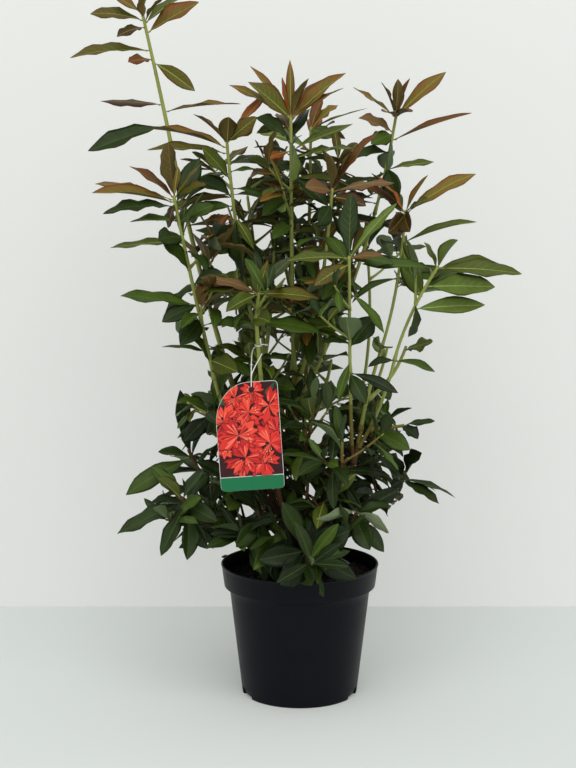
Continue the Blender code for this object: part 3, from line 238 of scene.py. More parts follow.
# Leaves that face the viewer, spray by spray, placed by pixel: height of the root on its stem
# and the tip, then how far the tip stands towards the viewer (m), the leaf's width (m), degrees
# that its upper side is turned to the viewer, how far it arches (share of its length) and its tint
SEEN_LEAVES = {
    "spray_left_tall": (
        (14, (114, -4), 0.01, 0.03, 30, 0.06, "bronze"), (20, (90, 14), 0.01, 0.032, 36, 0.12, "olive"),
        (27, (117, 37), 0.04, 0.024, 30, 0.1, "wine"), (51, (70, 58), 0.03, 0.036, 34, 0.06, "olive"),
        (33, (199, 2), -0.01, 0.04, 46, 0.04, "bronze"), (24, (188, -4), -0.05, 0.03, 24, 0.12, "moss"),
        (60, (128, 62), 0.04, 0.026, 30, 0.06, "copper"), (63, (195, 91), 0.03, 0.028, 50, 0.1, "olive"),
        (105, (100, 101), 0.02, 0.036, 26, 0.02, "wine"),
        (112, (241, 104), 0.0, 0.024, 16, 0.06, "bronze"),
        (126, (88, 151), 0.03, 0.037, 40, 0.05, "deep"),
        (20, (146, -12), 0.01, 0.026, 10, 0.06, "bronze"),
        (22, (164, -2), 0.02, 0.026, 20, 0.08, "orange"),
    ),
    "spray_left": (
        (196, (168, 142), 0.015, 0.042, 66, 0.04, "wine"),
        (198, (206, 160), 0.01, 0.022, 36, 0.05, "olive"),
        (204, (200, 158), -0.04, 0.034, 50, 0.05, "deep"), (202, (168, 228), 0.0, 0.03, 40, 0.1, "wine"),
        (222, (214, 205), -0.02, 0.03, 44, 0.1, "mid"), (237, (204, 192), 0.02, 0.022, 30, 0.06, "mid"),
        (286, (222, 272), 0.0, 0.034, 46, 0.08, "deep"), (198, (129, 166), 0.0, 0.028, 30, 0.1, "copper"),
        (200, (95, 184), 0.0, 0.022, 14, 0.06, "rose"), (202, (92, 193), 0.03, 0.034, 26, 0.06, "bronze"),
        (206, (103, 214), 0.045, 0.034, 30, 0.12, "deep"),
        (203, (206, 185), 0.05, 0.034, 44, 0.1, "olive"), (220, (130, 222), 0.02, 0.03, 30, 0.02, "mid"),
        (240, (110, 248), 0.02, 0.026, 26, 0.0, "moss"), (236, (158, 240), 0.06, 0.034, 50, 0.1, "deep"),
        (306, (120, 296), 0.03, 0.034, 34, 0.0, "mid"), (272, (160, 236), 0.03, 0.038, 54, 0.06, "mid"),
        (306, (162, 322), 0.03, 0.032, 44, 0.1, "deep"), (320, (180, 345), 0.05, 0.038, 60, 0.1, "deep"),
        (352, (161, 347), 0.02, 0.022, 22, 0.06, "mid"), (364, (186, 333), 0.03, 0.038, 56, 0.08, "mid"),
        (360, (238, 372), 0.05, 0.036, 56, 0.1, "moss"),
    ),
    "spray_middle_left": (
        (142, (193, 114), 0.0, 0.02, 12, 0.08, "bronze"),
        (142, (257, 117), 0.02, 0.034, 50, 0.06, "olive"),
        (144, (229, 117), 0.03, 0.034, 0, 0.05, "bronze"),
        (143, (271, 88), -0.02, 0.022, 16, 0.04, "orange"),
        (148, (152, 129), 0.01, 0.03, 26, 0.12, "bronze"),
        (154, (147, 150), 0.03, 0.03, 24, 0.1, "olive"), (180, (202, 148), 0.03, 0.038, 54, 0.06, "moss"),
        (164, (262, 156), -0.01, 0.026, 26, 0.06, "deep"),
        (172, (262, 170), 0.02, 0.026, 20, 0.08, "mid"), (218, (246, 278), 0.03, 0.036, 60, 0.1, "deep"),
        (198, (196, 180), 0.01, 0.034, 44, 0.1, "deep"), (206, (188, 214), 0.0, 0.034, 46, 0.1, "mid"),
        (220, (202, 222), 0.01, 0.024, 30, 0.12, "copper"),
        (242, (195, 230), 0.02, 0.032, 40, 0.06, "mid"), (256, (210, 250), 0.01, 0.022, 26, 0.06, "mid"),
        (268, (208, 300), 0.02, 0.028, 50, 0.1, "mid"),
    ),
    "spray_front": (
        (288, (200, 278), 0.01, 0.03, 34, 0.14, "rose"), (291, (198, 293), 0.02, 0.022, 26, 0.12, "moss"),
        (289, (268, 260), -0.01, 0.018, 20, 0.06, "olive"),
        (291, (320, 299), 0.02, 0.036, 40, 0.05, "olive"),
        (290, (292, 257), -0.02, 0.026, 30, 0.08, "ash"),
        (296, (256, 268), -0.02, 0.022, 30, 0.08, "moss"),
        (294, (226, 312), 0.03, 0.028, 36, 0.12, "moss"),
        (318, (270, 322), 0.055, 0.034, 44, 0.06, "moss"),
        (322, (320, 332), 0.01, 0.038, 30, 0.06, "mid"), (328, (216, 326), 0.02, 0.028, 30, 0.08, "mid"),
    ),
    "spray_centre": (
        (112, (290, 60), -0.01, 0.014, 10, 0.05, "bronze"),
        (113, (282, 77), -0.014, 0.015, 14, 0.03, "orange"),
        (116, (248, 82), 0.02, 0.048, 60, 0.06, "olive"),
        (112, (250, 66), -0.03, 0.02, 14, 0.06, "bronze"),
        (114, (229, 85), -0.01, 0.024, 16, 0.06, "bronze"),
        (113, (309, 78), 0.02, 0.026, -10, 0.08, "rose"),
        (117, (346, 73), -0.01, 0.036, 44, 0.04, "bronze"),
        (118, (344, 88), 0.02, 0.03, 34, 0.04, "copper"),
        (113, (321, 80), -0.03, 0.024, 20, 0.08, "copper"),
        (140, (256, 118), 0.04, 0.034, 50, 0.08, "deep"), (152, (353, 124), 0.01, 0.03, 26, 0.06, "moss"),
        (158, (355, 148), 0.03, 0.03, 26, 0.08, "moss"),
        (140, (291, 182), 0.06, 0.038, 72, 0.12, "fresh"),
        (150, (258, 164), 0.03, 0.026, 30, 0.1, "orange"), (176, (328, 206), 0.03, 0.03, 36, 0.1, "deep"),
        (196, (262, 216), 0.03, 0.03, 30, 0.1, "mid"),
    ),
    "spray_high_back": (
        (127, (338, 105), 0.0, 0.034, 34, 0.08, "gold"), (128, (368, 108), 0.01, 0.02, 16, 0.08, "olive"),
        (130, (332, 138), 0.04, 0.03, 50, 0.1, "mid"), (126, (322, 98), -0.02, 0.024, 20, 0.06, "copper"),
    ),
    "spray_inner_right": (
        (190, (322, 149), 0.015, 0.034, 6, 0.04, "wine"), (189, (352, 151), 0.0, 0.03, 16, 0.06, "wine"),
        (190, (379, 131), -0.02, 0.026, 20, 0.05, "copper"),
        (191, (305, 187), 0.05, 0.034, 44, 0.12, "rose"), (192, (395, 183), 0.01, 0.03, 26, 0.08, "rose"),
        (198, (366, 206), 0.03, 0.032, 44, 0.12, "wine"), (204, (318, 226), 0.04, 0.03, 50, 0.14, "deep"),
    ),
    "spray_right_front": (
        (256, (351, 193), 0.01, 0.036, 20, 0.04, "ash"), (256, (286, 261), 0.01, 0.03, 26, 0.08, "moss"),
        (258, (383, 255), 0.03, 0.024, 40, 0.1, "rose"), (257, (394, 264), -0.01, 0.036, 50, 0.16, "mid"),
        (256, (397, 203), -0.02, 0.024, 26, 0.1, "fresh"),
        (264, (314, 286), 0.04, 0.032, 44, 0.14, "olive"),
        (268, (322, 300), 0.02, 0.026, 40, 0.14, "mid"), (292, (384, 333), 0.01, 0.02, 24, 0.14, "mid"),
        (342, (346, 317), 0.05, 0.046, 8, 0.06, "sage"),
        (348, (374, 317), -0.005, 0.038, 44, 0.08, "deep"),
        (344, (322, 342), 0.02, 0.022, 20, 0.06, "deep"), (378, (398, 393), 0.02, 0.022, 26, 0.1, "dark"),
        (386, (366, 404), 0.03, 0.026, 44, 0.12, "deep"),
    ),
    "spray_upper_right": (
        (112, (398, 79), 0.006, 0.024, 4, 0.04, "copper"),
        (113, (381, 82), 0.01, 0.018, 10, 0.05, "bronze"),
        (112, (410, 78), 0.0, 0.018, 12, 0.05, "copper"),
        (114, (353, 87), 0.0, 0.022, 18, 0.05, "bronze"),
        (116, (446, 72), -0.01, 0.031, 34, 0.04, "gold"),
        (115, (384, 112), 0.04, 0.028, 10, 0.14, "copper"),
        (115, (412, 112), 0.04, 0.026, 20, 0.14, "rose"),
        (132, (358, 118), 0.02, 0.036, 44, 0.06, "rose"),
        (141, (472, 113), 0.01, 0.022, 18, 0.03, "copper"),
        (170, (434, 162), 0.01, 0.022, 22, 0.05, "moss"), (138, (386, 175), 0.02, 0.04, 82, 0.04, "mid"),
        (134, (371, 144), 0.03, 0.03, 50, 0.1, "mid"), (166, (398, 204), 0.03, 0.034, 60, 0.1, "deep"),
        (152, (352, 160), 0.02, 0.03, 34, 0.1, "deep"),
    ),
    "spray_right_inner": (
        (211, (371, 173), 0.01, 0.03, 30, 0.06, "orange"),
        (212, (350, 184), 0.0, 0.03, 26, 0.12, "copper"),
        (210, (428, 175), 0.0, 0.022, 14, 0.06, "bronze"),
        (214, (476, 174), -0.01, 0.03, 34, 0.08, "gold"), (213, (431, 198), 0.03, 0.024, 30, 0.1, "moss"),
        (214, (388, 233), 0.05, 0.04, 70, 0.12, "wine"),
        (214, (410, 232), 0.056, 0.036, 66, 0.12, "wine"),
        (243, (477, 222), 0.0, 0.024, 16, 0.05, "moss"), (248, (422, 297), 0.04, 0.036, 66, 0.1, "fresh"),
        (278, (352, 303), 0.02, 0.022, 26, 0.16, "mid"), (288, (416, 279), 0.01, 0.024, 30, 0.06, "sage"),
        (364, (380, 344), 0.04, 0.036, 10, 0.06, "fresh"),
    ),
    "spray_right_outer": (
        (265, (458, 240), 0.02, 0.044, 58, 0.05, "fresh"),
        (266, (424, 242), 0.01, 0.03, 30, 0.06, "moss"), (266, (522, 274), 0.01, 0.036, 44, 0.06, "moss"),
        (268, (500, 264), -0.03, 0.03, 30, 0.08, "moss"),
        (286, (495, 287), 0.02, 0.04, 66, 0.02, "fresh"),
        (309, (485, 305), 0.02, 0.03, 56, 0.06, "fresh"), (268, (362, 264), 0.01, 0.024, 26, 0.02, "mid"),
        (304, (408, 337), 0.02, 0.036, 62, 0.08, "deep"), (378, (368, 367), 0.02, 0.02, 30, 0.18, "deep"),
        (380, (435, 372), 0.0, 0.022, 18, 0.1, "mid"),
    ),
    "spray_right_low": (
        (350, (433, 341), 0.02, 0.036, 44, 0.04, "fresh"),
        (350, (416, 350), 0.02, 0.014, 30, 0.1, "deep"),
    ),
    "spray_back_right": (
        (352, (372, 345), 0.02, 0.044, 60, 0.1, "fresh"),
    ),
    "spray_right_side": (
        (424, (435, 421), 0.01, 0.02, 34, 0.12, "deep"), (426, (418, 439), 0.02, 0.026, 50, 0.14, "dark"),
        (430, (410, 450), 0.04, 0.036, 60, 0.1, "mid"), (430, (401, 452), 0.03, 0.028, 50, 0.1, "dark"),
    ),
    "spray_mid_right": (
        (424, (412, 408), 0.01, 0.02, 34, 0.1, "deep"), (432, (403, 457), 0.02, 0.024, 40, 0.08, "dark"),
    ),
    # The low sprays' leaves below mostly take deep and dark tints, which are partly painted shade
    "spray_low_right": (
        (476, (456, 498), 0.02, 0.022, 32, 0.14, "deep"),
        (477, (436, 491), 0.03, 0.014, 20, 0.08, "deep"), (480, (439, 504), 0.04, 0.03, 42, 0.06, "deep"),
        (478, (422, 453), 0.02, 0.048, 76, 0.06, "dark"), (478, (380, 460), 0.06, 0.046, 70, 0.1, "dark"),
        (480, (391, 488), 0.03, 0.018, 30, 0.06, "dark"),
    ),
    "spray_low_right_front": (
        (512, (391, 506), 0.01, 0.032, 30, 0.1, "deep"),
        (492, (316, 519), 0.08, 0.027, -84, 0.03, "silver"),
        (510, (389, 533), 0.06, 0.025, -70, 0.05, "silver"),
        (516, (370, 550), 0.04, 0.034, 40, 0.12, "deep"), (518, (384, 552), 0.01, 0.03, 34, 0.12, "deep"),
    ),
    "spray_low_left_front": (
        (502, (117, 534), 0.02, 0.036, 42, 0.08, "deep"), (500, (158, 478), 0.0, 0.028, 24, 0.06, "moss"),
        (502, (150, 504), 0.03, 0.026, 26, 0.08, "dark"), (506, (187, 560), 0.04, 0.036, 62, 0.1, "deep"),
        (504, (161, 556), 0.04, 0.03, 52, 0.1, "deep"), (508, (208, 549), 0.04, 0.032, 56, 0.1, "dark"),
        (504, (218, 522), 0.03, 0.032, 40, 0.12, "deep"),
        (500, (204, 470), -0.01, 0.03, 10, 0.06, "deep"),
    ),
    "spray_low_left": (
        (458, (180, 390), 0.01, 0.038, 24, 0.06, "deep"), (458, (126, 495), 0.03, 0.036, 42, 0.08, "mid"),
        (457, (158, 452), 0.02, 0.03, 30, 0.08, "deep"), (456, (206, 428), 0.0, 0.03, 16, 0.06, "deep"),
        (460, (232, 480), 0.03, 0.032, 34, 0.12, "deep"),
    ),
    "spray_left_low": (
        (412, (236, 364), 0.05, 0.042, 60, 0.08, "mid"), (404, (179, 400), 0.02, 0.028, 46, 0.14, "mid"),
        (404, (184, 442), 0.03, 0.03, 60, 0.04, "dark"), (410, (207, 434), 0.02, 0.024, 44, 0.06, "dark"),
    ),
    "spray_low_front": (
        (551, (258, 560), 0.025, 0.04, 44, 0.14, "dark"), (553, (280, 585), 0.035, 0.05, 74, 0.1, "dark"),
        (554, (312, 586), 0.03, 0.05, 74, 0.1, "deep"), (556, (324, 597), 0.01, 0.026, 50, 0.1, "deep"),
        (552, (357, 579), 0.0, 0.036, 50, 0.16, "dark"), (550, (350, 530), 0.01, 0.05, 66, 0.08, "dark"),
        (550, (322, 518), -0.01, 0.046, 60, 0.06, "dark"),
        (549, (282, 502), 0.02, 0.034, 10, 0.05, "deep"),
    ),
    "spray_under_tag": (
        (520, (236, 547), 0.03, 0.038, 60, 0.1, "deep"), (522, (262, 548), 0.03, 0.036, 56, 0.1, "deep"),
    ),
}

# Where the rule's leaves may show, in pixels of the picture: inside the crown's outline, clear of
# the gaps that the backdrop shows through (left, top, right, bottom) and of the stems in front
CROWN_OUTLINE = (
    (262, 104), (290, 92), (320, 96), (346, 128), (374, 148), (398, 140), (404, 190),
    (404, 232), (428, 244), (440, 262), (470, 266), (476, 290), (446, 298), (424, 296),
    (420, 330), (406, 334), (402, 300), (392, 278), (366, 286), (352, 312), (354, 380),
    (374, 382), (392, 390), (396, 400), (388, 410), (400, 424), (404, 440),
    (398, 448), (396, 460), (410, 462), (414, 486), (396, 506), (386, 522), (370, 532),
    (350, 538), (352, 566), (326, 588), (268, 588), (240, 568), (236, 544), (214, 550),
    (164, 548), (148, 516), (140, 492), (150, 462), (176, 442),
    (172, 396), (208, 388), (206, 356), (164, 334), (164, 300), (192, 280), (164, 252),
    (162, 206), (176, 160), (186, 148), (214, 146), (250, 144),
)
GAPS = (
    (210, 200, 230, 213), (228, 166, 246, 182), (242, 196, 251, 206), (188, 262, 200, 275),
    (216, 257, 235, 272), (256, 230, 270, 246), (320, 260, 330, 275), (277, 272, 291, 284),
    (224, 304, 234, 317), (208, 328, 220, 344), (226, 328, 234, 340), (260, 338, 273, 352),
    (272, 314, 290, 325), (275, 340, 289, 352), (275, 360, 283, 368), (297, 206, 304, 215),
    (358, 262, 394, 284), (366, 286, 392, 306), (378, 306, 394, 334), (355, 338, 374, 378),
    (326, 342, 346, 351), (322, 371, 336, 379), (316, 408, 326, 419), (312, 427, 321, 440),
    (306, 486, 312, 500), (240, 506, 251, 516), (245, 288, 251, 299), (356, 156, 370, 172),
    (196, 412, 204, 426), (205, 436, 214, 446), (190, 442, 200, 452), (146, 488, 156, 496),
)
SHOWN_STEMS = (
    "spray_left_tall", "spray_left", "spray_middle_left", "spray_front", "spray_centre",
    "spray_right_front", "spray_upper_right", "spray_right_inner", "spray_right_outer",
    "bough_right_front", "bough_right_inner", "bough_right_outer", "bough_front", "bough_left",
)
SHOWN_STEM_STEP = 0.004
SEEN_PLACES = 9  # first places on a stem where, beside such leaves, the rule fills the back only
BACK_BEARINGS = (15, 165)

# Stems and twigs
GAP = 0.0003
FOOT_OFFSET = 0.45
BEND_AT = 0.45
UPRIGHT = 0.8
STEM_RADIUS = 0.0034
STEM_TIP_RADIUS = 0.0023
STEM_SWEEP = 0.45
TWIG_RADIUS = 0.0022
TWIG_TIP_RADIUS = 0.0015
TWIG_LENGTH = 0.070
TWIG_LENGTH_RANGE = (0.8, 1.15)
TWIG_FIRST = 0.22
TWIG_SPACING = 0.50
TWIG_SHIFT = 0.15
TWIG_LIFT = 38
TWIG_SAG = 0.08
MORE_TWIGS = 4  # finer twigs beside a spray's own
TWIG_LEAVES = 8
LEAST_ON_TWIG = 1  # a twig on which fewer leaves find room is left out
TWIG_LEAF_LENGTH = 0.82

# Where leaves sit on a stem, counted from its tip
WHORL = 6
WHORL_STEP = 0.0042
LEAF_STEP = 0.0100
MORE_LEAVES = 1.9
SPIRAL = 144.0
BARE_FOOT = 0.012
WHORL_RULE = (  # up to which place, share of a full length, degrees over the level, arch
    (1, 0.60, 72, 0.05),
    (2, 0.78, 56, 0.08),
    (4, 0.94, 34, 0.13),
    (6, 1.02, 14, 0.16),
)
LOWER_SHORTER = 0.18
LOWER_LIFT = 14
LOWER_FALL = 40
LOWER_ARCH = 0.16
SIZE_RANGE = (0.84, 1.08)
LIFT_RANGE = (-11, 11)
LOWER_LIFT_RANGE = (-14, 12)
ARCH_RANGE = (-0.03, 0.05)
TIP_BELOW = 0.6  # how far the tip hangs under the leaf's first direction, in arches
BEARING_RANGE = (-13, 13)
ROLL_RANGE = (-34, 34)
STEP_RANGE = (0.75, 1.25)
TURN_ASIDE = (18, 40)
LIFT_ASIDE = (-18, 14)
LEAF_TRIES = 8
TRY_SHORTER = 0.94
OUTER_STATION = 3  # along the leaf, from which it keeps clear of other leaves

# Leaf shape
LEAF_WIDTH_RANGE = (0.30, 0.37)  # shares of its length
STATIONS = np.array([0.0, 0.05, 0.085, 0.16, 0.26, 0.37, 0.48, 0.59, 0.70, 0.80, 0.89, 0.96, 1.0])
WIDEST_STATION = 7
MIDDLE_STATION = 5
SIDE_COLUMNS = (0.34, 0.68, 1.0)
OUTLINE_POWERS = (1.15, 0.95)
LEAF_THICK = 0.0004
HINT_THICK = 0.0008
PETIOLE_END = 0.06
PETIOLE_WIDTH = 0.0018
NARROWEST = 0.35  # of the petiole's width, at the tip
RIB_WIDTH = 0.0015
RIB_TAPER = 1.3  # the station at which the rib would run out
RIB_MOST = 0.6  # of the way to the next column
RIDGE = 0.0005  # how far the rib stands out below
RIDGE_TAPER = 1.2
RISE = 1.3  # steepness at the root, in arches
RISE_WITH_STEM = 0.04
DROP = 1.7  # steepness at the tip, in arches
DROP_RANGE = (-0.08, 0.16)
HANDLES = (0.34, 0.36)  # of the centre line's curve, in lengths of the leaf
TWIST_RANGE = (-0.7, 0.7)
TWIST_FROM = 0.25
FOLD_RANGE = (0.22, 0.70)
FOLD_OPENS = (1.25, 0.6)  # share of the fold at the root, and what it loses by the tip
CURL_RANGE = (-0.10, 0.35)
WAVES_RANGE = (1.6, 3.0)
WAVE_DEPTH_RANGE = (0.05, 0.24)
WAVE_OFFSET = 0.35  # to either side, between the margins


def linear(colour):
    """A colour that is read as 0 to 255, as the light that it sends back."""
    shares = [part / 255 for part in colour]
    return tuple(s / 12.92 if s <= 0.04045 else ((s + 0.055) / 1.055) ** 2.4 for s in shares)


def normalised(rows):
    return rows / np.linalg.norm(rows, axis=-1, keepdims=True)


def square_to(direction, axis):
    """What of a direction is square to an axis, at unit length."""
    return (direction - axis * direction.dot(axis)).normalized()


def leaving(axis, bearing, elevation):
    """The direction that leaves an axis at a bearing from +X and an elevation towards its end."""
    side = square_to(ACROSS, axis)
    out = side * math.cos(bearing) + axis.cross(side) * math.sin(bearing)
    return out * math.cos(elevation) + axis * math.sin(elevation)


def put_in_scene(name, data):
    thing = bpy.data.objects.new(name, data)
    bpy.context.scene.collection.objects.link(thing)
    return thing


# The camera and the pixels of its picture

def make_camera():
    data = bpy.data.cameras.new("camera")
    data.sensor_width = SENSOR
    data.lens = FOCAL_PIXELS / PICTURE_HEIGHT * SENSOR
    camera = put_in_scene("camera", data)
    camera.location = CAMERA_PLACE
    camera.rotation_euler = (math.radians(90 - CAMERA_PITCH), 0.0, 0.0)
    bpy.context.scene.camera = camera


def camera_axes():
    pitch = math.radians(CAMERA_PITCH)
    forward = Vector((0.0, math.cos(pitch), -math.sin(pitch)))
    upward = Vector((0.0, math.sin(pitch), math.cos(pitch)))
    return forward, upward


def pixel_of(point):
    forward, upward = camera_axes()
    away = point - CAMERA_PLACE
    depth = away.dot(forward)
    across = PICTURE_WIDTH / 2 + FOCAL_PIXELS * away.x / depth
    down = PICTURE_HEIGHT / 2 - FOCAL_PIXELS * away.dot(upward) / depth
    return across, down


def behind_pixel(pixel, y):
    """The point that shows at a pixel and lies y behind the object's origin."""
    forward, upward = camera_axes()
    ray = forward.copy()
    ray.x += (pixel[0] - PICTURE_WIDTH / 2) / FOCAL_PIXELS
    ray += upward * ((PICTURE_HEIGHT / 2 - pixel[1]) / FOCAL_PIXELS)
    return CAMERA_PLACE + ray * ((y - CAMERA_PLACE.y) / ray.y)


def pixels_of(points):
    """Pixels and depths of an array of points."""
    forward, upward = camera_axes()
    away = points - np.array(CAMERA_PLACE)
    depth = away @ np.array(forward)
    across = PICTURE_WIDTH / 2 + FOCAL_PIXELS * away[:, 0] / depth
    down = PICTURE_HEIGHT / 2 - FOCAL_PIXELS * (away @ np.array(upward)) / depth
    return np.stack([across, down], axis=1), depth


def within(points, outline):
    """Which of the points lie inside a closed outline."""
    x, y = points[:, 0], points[:, 1]
    found = np.zeros(len(points), dtype=bool)
    for (ax, ay), (bx, by) in zip(outline, np.roll(outline, -1, axis=0)):
        if ay != by:
            found ^= ((ay > y) != (by > y)) & (x < (bx - ax) * (y - ay) / (by - ay) + ax)
    return found


class View:
    """What shows from the front between and before the leaves of the rule."""

    def __init__(self, paths):
        stems = []
        for name in SHOWN_STEMS:
            path = paths[name]
            count = round(path.length / SHOWN_STEM_STEP)
            stems += [list(path.at(i / count)) for i in range(count + 1)]
        self.stems, self.depths = pixels_of(np.array(stems))

    def spoilt_by(self, upper):
        """Whether a leaf's upper side would show outside the crown, in a gap or over a stem."""
        margin = np.concatenate([upper[2:, 0], upper[:1:-1, -1]])
        outline, depth = pixels_of(margin)
        if not within(outline, CROWN_OUTLINE).all():
            return True
        middle, _ = pixels_of(upper[2:, RIB_STRIP])
        spots = np.concatenate([outline, middle])
        for left, top, right, bottom in GAPS:
            inside = (spots > (left, top)) & (spots < (right, bottom))
            if inside.all(axis=1).any():
                return True
        return bool((within(self.stems, outline) & (self.depths > depth.mean())).any())


# The centre lines of the limbs

class Path:
    """A limb's centre line: it sets off from its foot, bends once and runs to its tip."""

    def __init__(self, foot, bend, tip, foot_radius, tip_radius):
        self.foot = foot
        self.bend = bend
        self.tip = tip
        self.foot_radius = foot_radius
        self.tip_radius = tip_radius
        self.length = (bend - foot).length / 2 + (tip - bend).length / 2 + (tip - foot).length / 2

    def at(self, share):
        rest = 1 - share
        return self.foot * rest * rest + self.bend * 2 * share * rest + self.tip * share * share

    def heading(self, share):
        return ((self.bend - self.foot) * (1 - share) + (self.tip - self.bend) * share).normalized()

    def radius(self, share):
        return self.foot_radius + (self.tip_radius - self.foot_radius) * share


def rising_path(parent, where, tip, sweep, foot_radius, tip_radius):
    """A path that leaves its parent more sideways than its chord, by sweep, and then turns up."""
    foot = parent.at(where)
    along = parent.heading(where)
    outward = tip - foot
    outward -= along * outward.dot(along)
    foot = foot + outward.normalized() * parent.radius(where) * FOOT_OFFSET
    reach = tip - foot
    bend = foot + reach / 2
    bend.x += reach.x * sweep / 2
    bend.y += reach.y * sweep / 2
    bend.z -= abs(reach.z) * sweep / 3
    return Path(foot, bend, tip, foot_radius, tip_radius)


def continuing_path(parent, tip, tip_radius):
    """A path that runs on from the parent's tip in the parent's direction."""
    heading = parent.heading(1.0)
    foot = parent.tip + heading * GAP
    bend = foot + heading * (tip - foot).length * BEND_AT
    return Path(foot, bend, tip, parent.tip_radius, tip_radius)


def shortened(path, share):
    """The path's first part, along the same curve."""
    bend = path.foot + (path.bend - path.foot) * share
    return Path(path.foot, bend, path.at(share), path.foot_radius, path.tip_radius)


def slimmer(path, at_foot, at_tip):
    return Path(
        path.foot, path.bend, path.tip, path.foot_radius * at_foot, path.tip_radius * at_tip
    )


def all_paths():
    """The trunk's, every limb's and every spray stem's path, by name."""
    foot = Vector((0.0, 0.0, SOIL_TOP + GAP))
    tip = foot + Vector((0.0, 0.0, TRUNK_HEIGHT)) + TRUNK_LEAN
    paths = {"trunk": Path(foot, (foot + tip) / 2, tip, TRUNK_RADIUS, TRUNK_TOP_RADIUS)}
    for limb in map(Limb._make, LIMBS):
        parent = paths[limb.parent]
        tip = Vector(limb.tip)
        if limb.where == 1.0:
            paths[limb.name] = continuing_path(parent, tip, limb.tip_radius)
        else:
            radii = (limb.foot_radius, limb.tip_radius)
            paths[limb.name] = rising_path(parent, limb.where, tip, limb.sweep, *radii)
    for spray in map(Spray._make, SPRAYS):
        parent = paths[spray.parent]
        tip = Vector(spray.tip)
        if spray.where == 1.0:
            paths[spray.name] = continuing_path(parent, tip, STEM_TIP_RADIUS)
        else:
            radii = (STEM_RADIUS, STEM_TIP_RADIUS)
            paths[spray.name] = rising_path(parent, spray.where, tip, STEM_SWEEP, *radii)
        share = STEM_SHARES.get(spray.name, 1.0)
        paths[spray.name] = shortened(paths[spray.name], share)
    return paths


# Meshes, gathered part by part into one piece
MOST_FILLED = 4096  # leaves and limbs that the tests have room for


class Gather:
    """Faces of many small shapes that become one mesh, with a material for each face."""

    def __init__(self):
        self.corners = []
        self.faces = []
        self.finishes = []
        self.places = []
        self.count = 0

    def add(self, corners, faces, finishes, places=None):
        """Corners as an array, faces as rows of corner numbers, a finish name for each face."""
        self.corners.append(corners)
        self.faces += [[corner + self.count for corner in face] for face in faces]
        self.finishes += finishes
        if places is not None:
            self.places.append(places)
        self.count += len(corners)

    def piece(self, name, materials, slot, body="root", smooth=True):
        """The piece, riding on its body. The slot is not used."""
        mesh = bpy.data.meshes.new(name)
        mesh.from_pydata(np.concatenate(self.corners).tolist(), [], self.faces)
        used = sorted(set(self.finishes))
        for finish in used:
            mesh.materials.append(materials[finish])
        numbers = {finish: number for number, finish in enumerate(used)}
        index = np.array([numbers[finish] for finish in self.finishes], dtype=np.int32)
        mesh.polygons.foreach_set("material_index", index)
        mesh.polygons.foreach_set("use_smooth", np.full(len(self.faces), smooth))
        if self.places:
            attribute = mesh.attributes.new("leaf_place", "FLOAT_VECTOR", "POINT")
            places = np.concatenate(self.places).astype(np.float32)
            attribute.data.foreach_set("vector", places.ravel())
        mesh.update()
        return place_piece(name, mesh, body)


def place_piece(name, mesh, body="root"):
    piece = put_in_scene(name, mesh)
    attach(piece, body)
    return piece


def shell_piece(name, corners, faces, material, crease=None):
    """A piece of one mesh, smooth but for edges sharper than crease, in degrees."""
    mesh = bpy.data.meshes.new(name)
    mesh.from_pydata(corners, [], faces)
    mesh.materials.append(material)
    mesh.shade_smooth()
    if crease:
        mesh.set_sharp_from_angle(angle=math.radians(crease))
    return place_piece(name, mesh)


def ring_faces(rings, sides, first=0, flipped=False):
    """Faces between rings of corners that follow one another, from the corner numbered first."""
    faces = []
    for ring in range(rings - 1):
        a = first + ring * sides
        b = a + sides
        for k in range(sides):
            j = (k + 1) % sides
            face = (a + k, a + j, b + j, b + k)
            faces.append((face[0], *face[:0:-1]) if flipped else face)
    return faces


def closed_rings(rings, sides, flipped=False):
    """The faces between the rings and a cap on the first and the last."""
    ends = [range(sides), range((rings - 1) * sides, rings * sides)]
    if not flipped:
        ends.reverse()
    return ring_faces(rings, sides, flipped=flipped) + [tuple(ends[0]), tuple(reversed(ends[1]))]


def round_spots(radius, steps):
    """(x, y) of spots round a circle."""
    angles = [2 * math.pi * k / steps for k in range(steps)]
    return [(radius * math.cos(angle), radius * math.sin(angle)) for angle in angles]


class Filled:
    """The space that is already taken by leaves and limbs, which a new leaf is tested against."""

    def __init__(self):
        self.trees = []
        self.owners = []
        self.lows = np.zeros((MOST_FILLED, 3))
        self.highs = np.zeros((MOST_FILLED, 3))

    def add(self, owner, corners, faces):
        number = len(self.trees)
        self.lows[number] = corners.min(axis=0)
        self.highs[number] = corners.max(axis=0)
        self.trees.append(BVHTree.FromPolygons(corners.tolist(), faces))
        self.owners.append(owner)

    def touched_by(self, corners, faces, leave_out=None):
        low = corners.min(axis=0)
        high = corners.max(axis=0)
        count = len(self.trees)
        near = ((self.lows[:count] <= high) & (self.highs[:count] >= low)).all(axis=1)
        tree = None
        for number in np.flatnonzero(near):
            if leave_out is not None and self.owners[number] == leave_out:
                continue
            tree = tree or BVHTree.FromPolygons(corners.tolist(), faces)
            if tree.overlap(self.trees[number]):
                return True
        return False


# Leaves

def leaf_columns():
    """Columns across a leaf, as shares of its half width; None stands for the midrib's edges."""
    left = [-share for share in reversed(SIDE_COLUMNS)]
    return left + [None, None] + list(SIDE_COLUMNS)


COLUMNS = leaf_columns()
RIB_STRIP = len(SIDE_COLUMNS)


